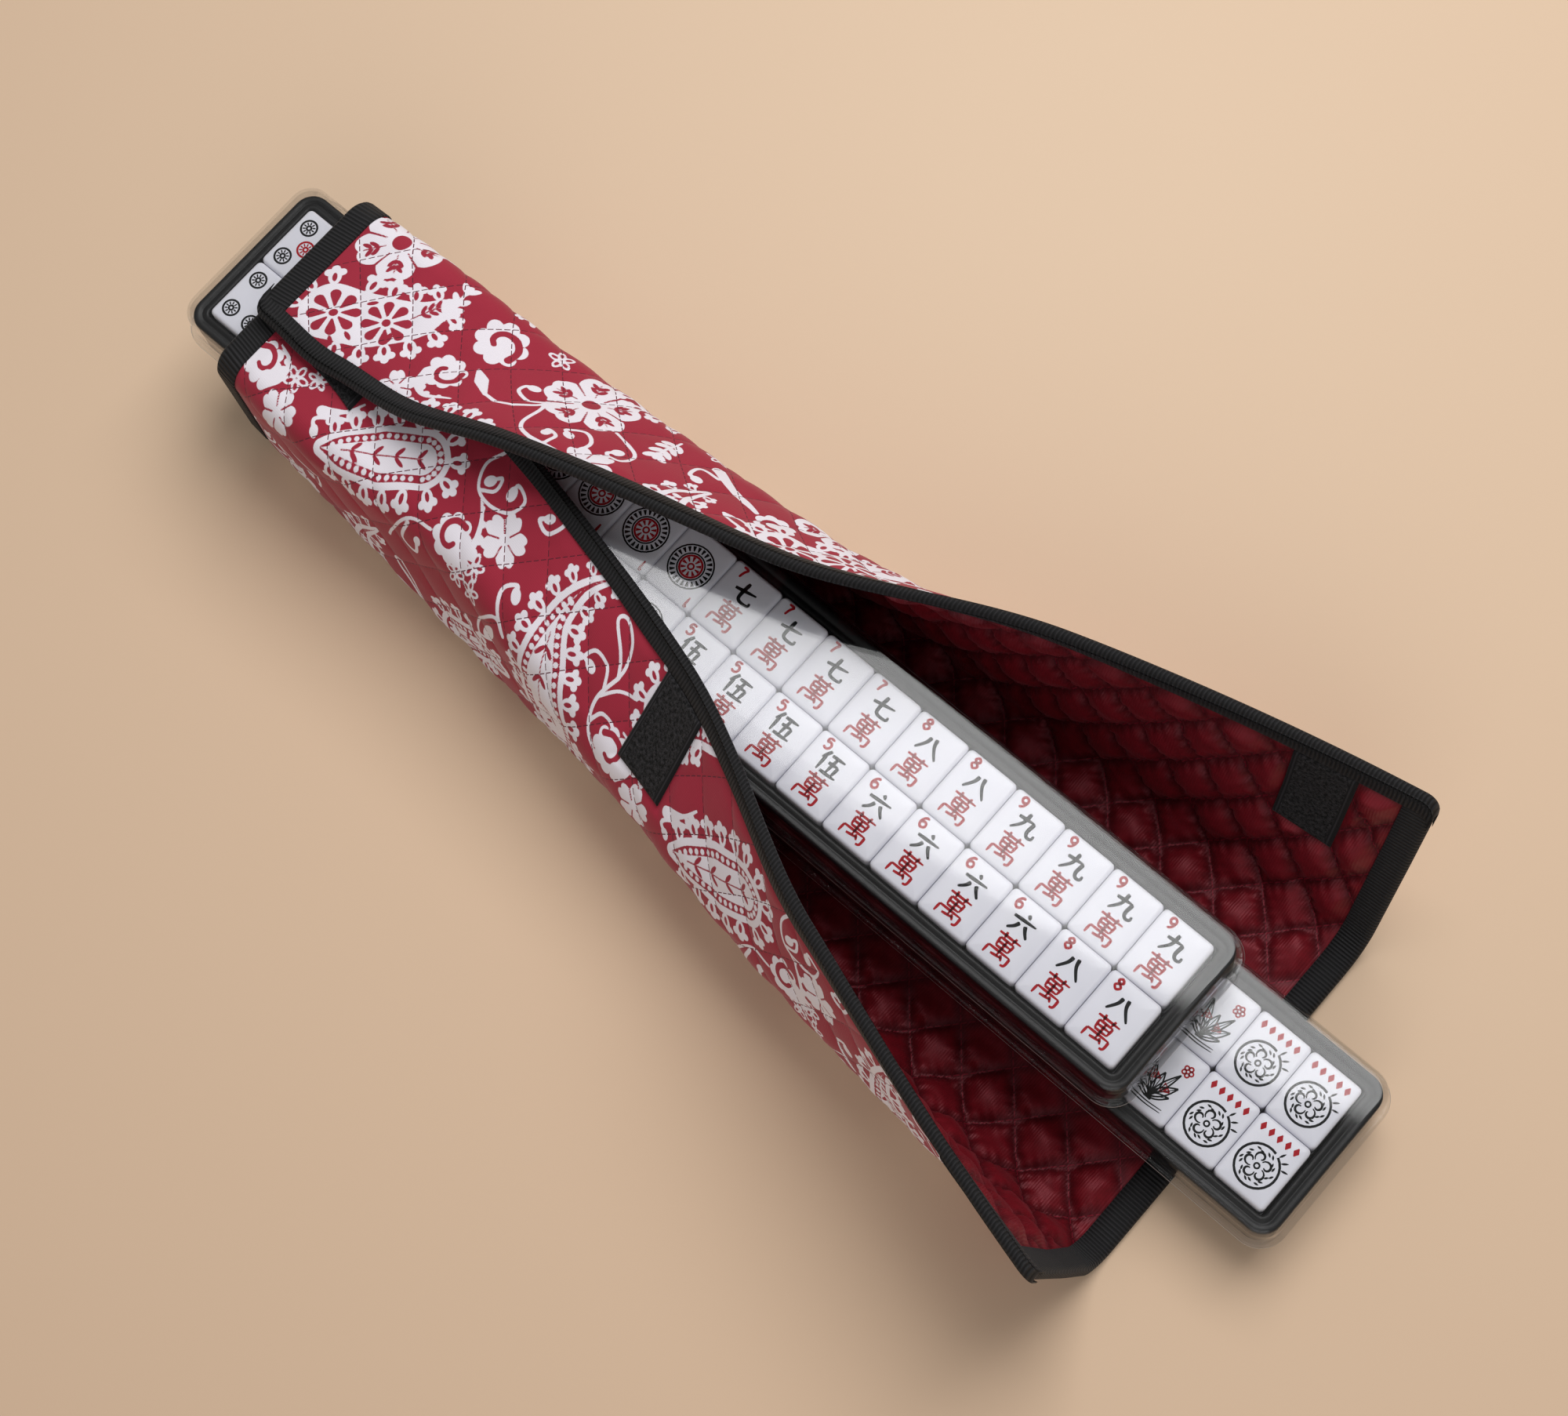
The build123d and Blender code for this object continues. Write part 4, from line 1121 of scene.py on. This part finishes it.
# %% Tiles
resin, tree, shader, output = new_material("moulded melamine resin")
resin_place = add(tree, "TexCoord").outputs["Object"]
cloud = add(tree, "TexNoise", {"Vector": resin_place, "Scale": 60.0, "Detail": 1.0})
white = add(tree, "MixRGB", {0: cloud.outputs[0], 1: linear("#DEDEE8"), 2: linear("#E6E6EE")})
tree.links.new(white.outputs[0], shader.inputs["Base Color"])
shader.inputs["Roughness"].default_value = 0.22
shader.inputs["Specular IOR Level"].default_value = 0.35
shader.inputs["Subsurface Weight"].default_value = 0.08
shader.inputs["Subsurface Radius"].default_value = (1.0, 0.9, 0.8)
shader.inputs["Subsurface Scale"].default_value = 0.002

TILE_TALL, TILE_ACROSS, TILE_THICK, TILE_ROUND = 28.0, 22.05, 13.0, 1.5
UPPER_LAYER_Z = 27.45


def tile_profile():
    """Rounded foot, straight side and rounded top edge of one tile, as inset and height."""
    r = TILE_ROUND
    foot = [(6.0, 0.0)] + arc(r, r, r, 270, 180, 4)
    return foot + arc(r, TILE_THICK - r, r, 180, 90, 5) + [(6.0, TILE_THICK)]


def tile_centres(tray):
    """Middle of the top face of each upper tile: x from the front, then the two rows."""
    centre, low = TRAYS[tray]
    column = (TILE_COLUMNS - 1) / 2 - np.arange(TILE_COLUMNS)
    x, y = np.meshgrid(centre + column * TILE_PITCH_X, np.array([0.5, -0.5]) * TILE_PITCH_Y,
                       indexing="ij")
    return np.stack([x, y, np.full(x.shape, low + UPPER_LAYER_Z)], -1)


tile_points, tile_faces = shell(tile_profile(), TILE_ACROSS, TILE_TALL, 2.0, steps=4)
for tray in TRAYS:
    centres = tile_centres(tray).reshape(-1, 3)
    points = tile_points[None] + centres[:, None] - (0, 0, TILE_THICK)
    faces = [[i + number * len(tile_points) for i in face]
             for number in range(len(centres)) for face in tile_faces]
    piece = mesh_object(f"{tray}_tiles", points.reshape(-1, 3) * MM, faces, [resin])
    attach(piece, tray)
    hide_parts(f"{tray}_tiles_upper_layer")
    hidden = bpy.data.objects[f"{tray}_tiles_lower_layer"]
    for slot in hidden.material_slots:
        slot.material = resin
print("tile has", len(tile_faces), "faces")

# %% [markdown]
# The marks are engraved and filled with paint, in two colours. Each is written as brush strokes,
# in millimetres from its own middle. A stroke is a ribbon: points along it and a width that
# swells and tapers, laid a hair above the resin. The roundels and sprays are plain ornaments.

# %% Painted marks
paints = []
for name, colour in (("red engraving paint", "#A80C1C"), ("black engraving paint", "#0C0D10")):
    paint, tree, shader, output = new_material(name)
    shader.inputs["Base Color"].default_value = linear(colour)
    shader.inputs["Roughness"].default_value = 0.6
    shader.inputs["Specular IOR Level"].default_value = 0.15
    paints.append(paint)
RED, BLACK = 0, 1

DIGITS = {
    1: [((-0.7, 1.2), (0.2, 2.1)), ((0.2, 2.1), (0.2, -2.1))],
    2: [((-1.1, 1.2), (-0.2, 2.1), (0.9, 1.6), (0.8, 0.5), (-0.3, -0.9), (-1.2, -2.0)),
        ((-1.2, -2.0), (1.3, -2.0))],
    3: [((-1.0, 1.6), (0.0, 2.1), (0.9, 1.5), (0.6, 0.5), (-0.2, 0.2)),
        ((-0.2, 0.2), (1.0, -0.1), (1.1, -1.3), (0.1, -2.1), (-1.1, -1.6))],
    4: [((0.5, 2.1), (-1.3, -0.7)), ((-1.3, -0.7), (1.4, -0.7)), ((0.5, 2.1), (0.5, -2.1))],
    5: [((1.1, 2.0), (-0.9, 2.0)), ((-0.9, 2.0), (-1.1, 0.2)),
        ((-1.1, 0.2), (0.2, 0.7), (1.2, -0.1), (1.0, -1.5), (-0.1, -2.1), (-1.2, -1.6))],
    6: [((1.0, 1.9), (-0.3, 1.5), (-1.2, -0.2), (-0.8, -1.7), (0.2, -2.1), (1.2, -1.4),
         (1.0, -0.2), (0.1, 0.2), (-1.0, -0.5))],
    7: [((-1.2, 2.0), (1.2, 2.0)), ((1.2, 2.0), (0.2, 0.2), (-0.3, -2.1))],
    8: [((0.0, 0.2), (1.0, 1.1), (0.0, 2.1), (-1.0, 1.1), (0.0, 0.2), (1.2, -0.9), (0.0, -2.1),
         (-1.2, -0.9), (0.0, 0.2))],
    9: [((1.0, 0.5), (-0.1, -0.2), (-1.0, 0.6), (-0.9, 1.7), (0.1, 2.1), (1.0, 1.5),
         (1.1, 0.2), (0.5, -1.3), (-0.7, -2.1))],
}
NUMERALS = {
    1: [((-3.6, 0.0), (3.6, 0.4))],
    2: [((-2.4, 1.8), (2.4, 2.0)), ((-3.6, -1.8), (3.6, -1.6))],
    3: [((-3.0, 2.8), (3.0, 3.0)), ((-2.3, 0.1), (2.3, 0.3)), ((-3.8, -2.8), (3.8, -2.6))],
    4: [((-3.2, 2.2), (-2.9, -2.4)), ((-3.2, 2.2), (3.2, 2.4)), ((3.2, 2.4), (2.9, -2.4)),
        ((-2.9, -2.4), (2.9, -2.4)), ((-0.9, 2.2), (-1.7, -0.6)), ((0.9, 2.2), (0.9, -0.4), (2.4, -0.5))],
    5: [((-2.4, 4.0), (-4.3, 0.6)), ((-3.2, 1.8), (-3.3, -3.8)), ((-1.6, 3.0), (3.6, 3.3)),
        ((0.7, 3.0), (0.1, -3.2)), ((-1.2, 0.4), (2.7, 0.7)), ((2.7, 0.7), (2.3, -3.2)),
        ((-2.0, -3.4), (4.2, -3.1))],
    6: [((-0.2, 4.0), (0.9, 2.7)), ((-4.2, 1.2), (4.2, 1.8)), ((-1.0, 0.0), (-1.9, -1.8), (-3.8, -3.6)),
        ((1.1, 0.2), (2.2, -1.5), (3.9, -3.3))],
    7: [((-4.0, 0.1), (3.9, 1.7)), ((-0.6, 4.0), (-0.9, -1.4), (0.2, -3.0), (3.5, -2.9), (3.7, -1.5))],
    8: [((-1.2, 2.7), (-1.8, 0.2), (-4.0, -3.2)), ((0.7, 3.3), (1.5, 0.4), (4.4, -3.3))],
    9: [((-3.7, 1.3), (2.2, 1.9)), ((2.2, 1.9), (1.8, -1.6), (2.7, -3.1), (4.3, -2.9), (4.4, -1.4)),
        ((-0.7, 4.0), (-1.2, 0.0), (-3.9, -3.6))],
}
MYRIAD = [((-4.2, 3.9), (4.3, 4.1)), ((-1.9, 5.2), (-1.6, 2.9)), ((2.0, 5.2), (1.6, 2.9)),
          ((-2.7, 2.5), (2.7, 2.6)), ((2.7, 2.6), (2.4, -0.5)), ((-2.7, 2.5), (-2.4, -0.6)),
          ((-2.4, 1.0), (2.4, 1.1)), ((-2.4, -0.6), (2.4, -0.5)), ((0.0, 2.6), (0.0, -3.4)),
          ((-4.3, -1.8), (4.3, -1.6)), ((-4.3, -1.8), (-4.5, -5.0)),
          ((4.3, -1.6), (4.2, -4.4), (2.9, -5.0)), ((-2.2, -3.7), (1.9, -3.1)), ((1.1, -2.3), (2.3, -4.0))]


class Brush:
    """Collects ribbons: each has two rows of points, left and right of its line."""

    def __init__(self):
        self.points, self.faces, self.slots = [], [], []
        self.count = 0

    def ribbon(self, path, widths, colour, place):
        """A strip along a path of complex points; place is (middle x, y, z, turn)."""
        x, y, z, turn = place
        step = np.gradient(path)
        normal = 1j * step / np.maximum(abs(step), 1e-9)
        sides = np.stack([path + normal * widths, path - normal * widths], 1).ravel() * turn
        self.points.append(np.column_stack([x + sides.real, y + sides.imag, np.full(len(sides), z)]))
        i = 2 * np.arange(len(path) - 1) + self.count
        self.faces.append(np.stack([i, i + 1, i + 3, i + 2], -1))
        self.slots.append(np.full(len(i), colour))
        self.count += len(sides)

    def stroke(self, points, half, colour, place, taper=0.55, middle=0j, scale=1.0):
        """A brush stroke: full at its start and tapered to a share of its width at its end."""
        path = np.array([complex(*p) for p in points]) * scale + middle
        path = smooth_line(path, 5) if len(path) > 2 else np.linspace(path[0], path[1], 4)
        t = np.linspace(0, 1, len(path))
        widths = half * (1 - (1 - taper) * t) * np.minimum(1, 0.5 + 6 * np.minimum(t, 1 - t) + 0.2)
        self.ribbon(path, widths, colour, place)

    def ring(self, middle, radius, half, colour, place, start=0.0, turns=1.0):
        angle = 2 * np.pi * (start + np.linspace(0, turns, max(8, int(28 * turns))))
        self.ribbon(middle + radius * np.exp(1j * angle), np.full(len(angle), half), colour, place)

    def wheel(self, middle, radius, colour, place, spokes=10):
        """A coin: rim, inner ring, hub and spokes."""
        self.ring(middle, radius, 0.13 * radius, colour, place)
        self.ring(middle, 0.28 * radius, 0.12 * radius, colour, place)
        for k in range(spokes):
            toward = np.exp(2j * np.pi * k / spokes)
            self.stroke([(0.42 * toward.real, 0.42 * toward.imag), (0.8 * toward.real, 0.8 * toward.imag)],
                        0.09 * radius, colour, place, 1.0, middle, radius)


def character(brush, number, place):
    """A red digit in the corner, a black numeral and the red sign below it."""
    for stroke in DIGITS[number]:
        brush.stroke(stroke, 0.52, RED, place, 0.9, -5.8 + 10.5j)
    for stroke in NUMERALS[number]:
        brush.stroke(stroke, 0.8, BLACK, place, 0.6, -0.1 + 4.7j, 1.08)
    for stroke in MYRIAD:
        brush.stroke(stroke, 0.58, RED, place, 0.75, -0.2 - 5.9j, 1.06)


def coins(brush, places, centre, place):
    """Small black wheels, with a red one in the middle where there are five."""
    for middle in places:
        brush.wheel(middle, 3.2, BLACK, place)
    if centre:
        brush.wheel(0j, 3.2, RED, place)


def great_wheel(brush, place):
    """One large wheel: a rim of black wedges, and red spokes inside a red ring."""
    for stroke in DIGITS[1]:
        brush.stroke(stroke, 0.52, RED, place, 0.9, -8.2 + 11.2j)
    brush.ring(0j, 8.6, 0.32, BLACK, place)
    brush.ring(0j, 5.2, 0.28, BLACK, place)
    for k in range(24):
        toward = np.exp(2j * np.pi * k / 24)
        brush.ribbon(toward * np.array([5.9, 7.9]), np.array([0.22, 0.66]), BLACK, place)
    brush.ring(0j, 4.3, 0.4, RED, place)
    for k in range(10):
        toward = np.exp(2j * np.pi * k / 10)
        brush.ribbon(toward * np.array([1.9, 3.8]), np.array([0.2, 0.6]), RED, place)
    brush.ring(0j, 1.1, 0.35, RED, place)


def roundel(brush, place):
    """A ring full of leaves and scrolls, rays at its upper right, and a row of red lozenges."""
    centre = -0.5 - 2.6j
    brush.ring(centre, 7.9, 0.46, BLACK, place, 0.2, 0.97)
    turns = np.linspace(0, 1, 12)
    for k in range(5):
        toward = np.exp(1j * (0.5 + 2 * np.pi * k / 5))
        hook = centre + toward * (3.3 + (2.2 - 1.3 * turns) * np.exp(1j * (2.4 - 5.2 * turns)))
        brush.ribbon(hook, 0.2 + 0.26 * np.sin(np.pi * turns), BLACK, place)
    for k in range(18):
        toward = np.exp(2j * np.pi * (k + 0.3 * (k % 2)) / 18)
        leaf = centre + toward * (6.3 - 0.5 * (k % 3) + np.linspace(-0.9, 0.9, 5) * (0.5 + 0.9j))
        brush.ribbon(leaf, np.array([0.08, 0.32, 0.4, 0.3, 0.06]), BLACK, place)
    brush.ring(centre, 0.95, 0.34, BLACK, place)
    for k in range(3):
        start = centre + 8.4 * np.exp(1j * (0.5 + 0.28 * k))
        brush.ribbon(start + np.linspace(0, 2.6, 4) * np.exp(1j * (0.2 + 0.45 * k)),
                     np.array([0.15, 0.4, 0.36, 0.1]), BLACK, place)
    for k in range(5):
        tip = complex(-7.4 + 3.6 * k, 9.8)
        brush.ribbon(tip + 1j * np.array([-1.7, 0.0, 1.7]), np.array([0.15, 1.15, 0.15]), RED, place)


def spray(brush, place, digit_colour, lean):
    """A digit, hatched ground and a fan of outlined leaves round two red buds."""
    for stroke in DIGITS[4]:
        brush.stroke(stroke, 0.52, digit_colour, place, 0.9, -7.0 + 10.4j)
    for low in (-9.4, -10.5):
        brush.stroke([(-7.5, low), (0.0, low - 0.5), (7.0, low + 0.1)], 0.3, BLACK, place)
    t = np.linspace(0, 1, 9)
    for k, angle in enumerate(np.radians(np.array([22, 42, 62, 84, 108, 130, 150]) + lean)):
        long = (9.0, 12.0, 14.5, 11.0, 15.0, 12.0, 9.0)[k]
        axis = -8.8j + 0.5 * (k - 3) + long * t * np.exp(1j * angle)
        bow = (1.5 if k % 2 else 1.1) * np.sin(np.pi * t) * 1j * np.exp(1j * angle)
        for side in (1, 0, -1):
            brush.ribbon(axis + side * bow, np.full(9, 0.3 if side else 0.16), BLACK, place)
    for bud in (-2.6 - 0.6j, 3.0 - 2.6j):
        brush.ribbon(bud + 2.1 * np.exp(2j * np.pi * np.linspace(0, 1, 4)), np.full(4, 0.34), RED, place)
        brush.ring(bud, 0.5, 0.34, RED, place)
    for k in range(5):
        brush.ring(5.4 + 7.4j + 1.4 * np.exp(2j * np.pi * k / 5), 0.75, 0.3, RED, place)


FOUR = (-5.2 + 7.4j, 5.2 + 7.4j, -5.2 - 7.4j, 5.2 - 7.4j)
UPPER_ROWS = ([9, 9, 9, 9, 8, 8, 7, 7, 7, 7] + ["great"] * 4 + ["five"] * 6,
              [8, 8, 6, 6, 6, 6, 5, 5, 5, 5] + ["great"] * 2 + ["five"] * 6 + ["four"] * 2)
LOWER_ROWS = (["roundel"] * 2 + ["spray"] + [4] * 4 + [3] * 4 + [2] * 4 + [1] * 4 + ["four"],
              ["roundel"] * 2 + ["low spray"] + ["five"] * 8 + ["four"] * 8 + ["great"])
for tray, rows in (("upper_tray", UPPER_ROWS), ("lower_tray", LOWER_ROWS)):
    brush = Brush()
    centres = tile_centres(tray)
    for row in (0, 1):
        for column, face in enumerate(rows[row]):
            x, y, z = centres[column, row] + random.normal(0, 0.03, 3) * (1, 1, 0)
            turn = np.exp(1j * (random.normal(0, 0.006) + np.pi * (face == "great")))
            place = (x, y, z + 0.03, turn)
            if face == "great":
                great_wheel(brush, place)
            elif face == "five" or face == "four":
                coins(brush, FOUR, face == "five", place)
            elif face == "roundel":
                roundel(brush, place)
            elif face in ("spray", "low spray"):
                spray(brush, place, BLACK if face == "spray" else RED, 0 if face == "spray" else 8)
            else:
                character(brush, face, place)
    piece = mesh_object(f"{tray}_marks", np.concatenate(brush.points) * MM,
                        np.concatenate(brush.faces), paints, slots=np.concatenate(brush.slots),
                        smooth=False)
    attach(piece, tray)
    print(piece.name, len(piece.data.polygons), "faces")

# %% [markdown]
# The case lies on a warm beige sheet under soft light from above. The sheet's colour carries a painted
# pool of light: lighter near a spot behind the case, darker away from it.

# %% Floor and light
paper, tree, shader, output = new_material("backdrop paper")
paper_place = add(tree, "TexCoord").outputs["Object"]
# Painted light: the paper's colour is lighter near a spot behind the case and darker with distance from
# it.
away = add(tree, "VectorMath", {0: paper_place, 1: (-0.06, 0.26, 0.0)}, operation="DISTANCE")
painted_light_falloff = add(tree, "MapRange", {"Value": away.outputs["Value"], "From Min": 0.05, "From Max": 0.7})
painted_light_beige = add(tree, "MixRGB", {0: painted_light_falloff.outputs[0], 1: linear("#E4C9AD"), 2: linear("#D8B99C")})
tree.links.new(painted_light_beige.outputs[0], shader.inputs["Base Color"])
shader.inputs["Roughness"].default_value = 0.95
floor = mesh_object("backdrop", [(-3, -3, -0.0003), (3, -3, -0.0003), (3, 3, -0.0003),
                                 (-3, 3, -0.0003)], [[0, 1, 2, 3]], [paper], smooth=False)
floor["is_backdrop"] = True


def soft_box(name, place, size, power):
    """A square area lamp that points at the middle of the case."""
    data = bpy.data.lights.new(name, "AREA")
    data.size, data.energy = size, power
    lamp = bpy.data.objects.new(name, data)
    lamp.location = place
    direction = -lamp.location
    lamp.rotation_euler = direction.to_track_quat("-Z", "Y").to_euler()
    bpy.context.scene.collection.objects.link(lamp)
    return lamp


soft_box("key", (-0.15, 0.85, 1.55), 1.25, 24)
soft_box("fill", (0.9, -1.1, 1.2), 1.4, 6)
world = bpy.data.worlds.new("studio")
world.use_nodes = True
world.node_tree.nodes["Background"].inputs["Color"].default_value = (1.0, 0.985, 0.96, 1.0)
world.node_tree.nodes["Background"].inputs["Strength"].default_value = 0.25
bpy.context.scene.world = world
bpy.context.scene.view_settings.view_transform = "Standard"
print("lamps and world set")

# %% Finish
low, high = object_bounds()
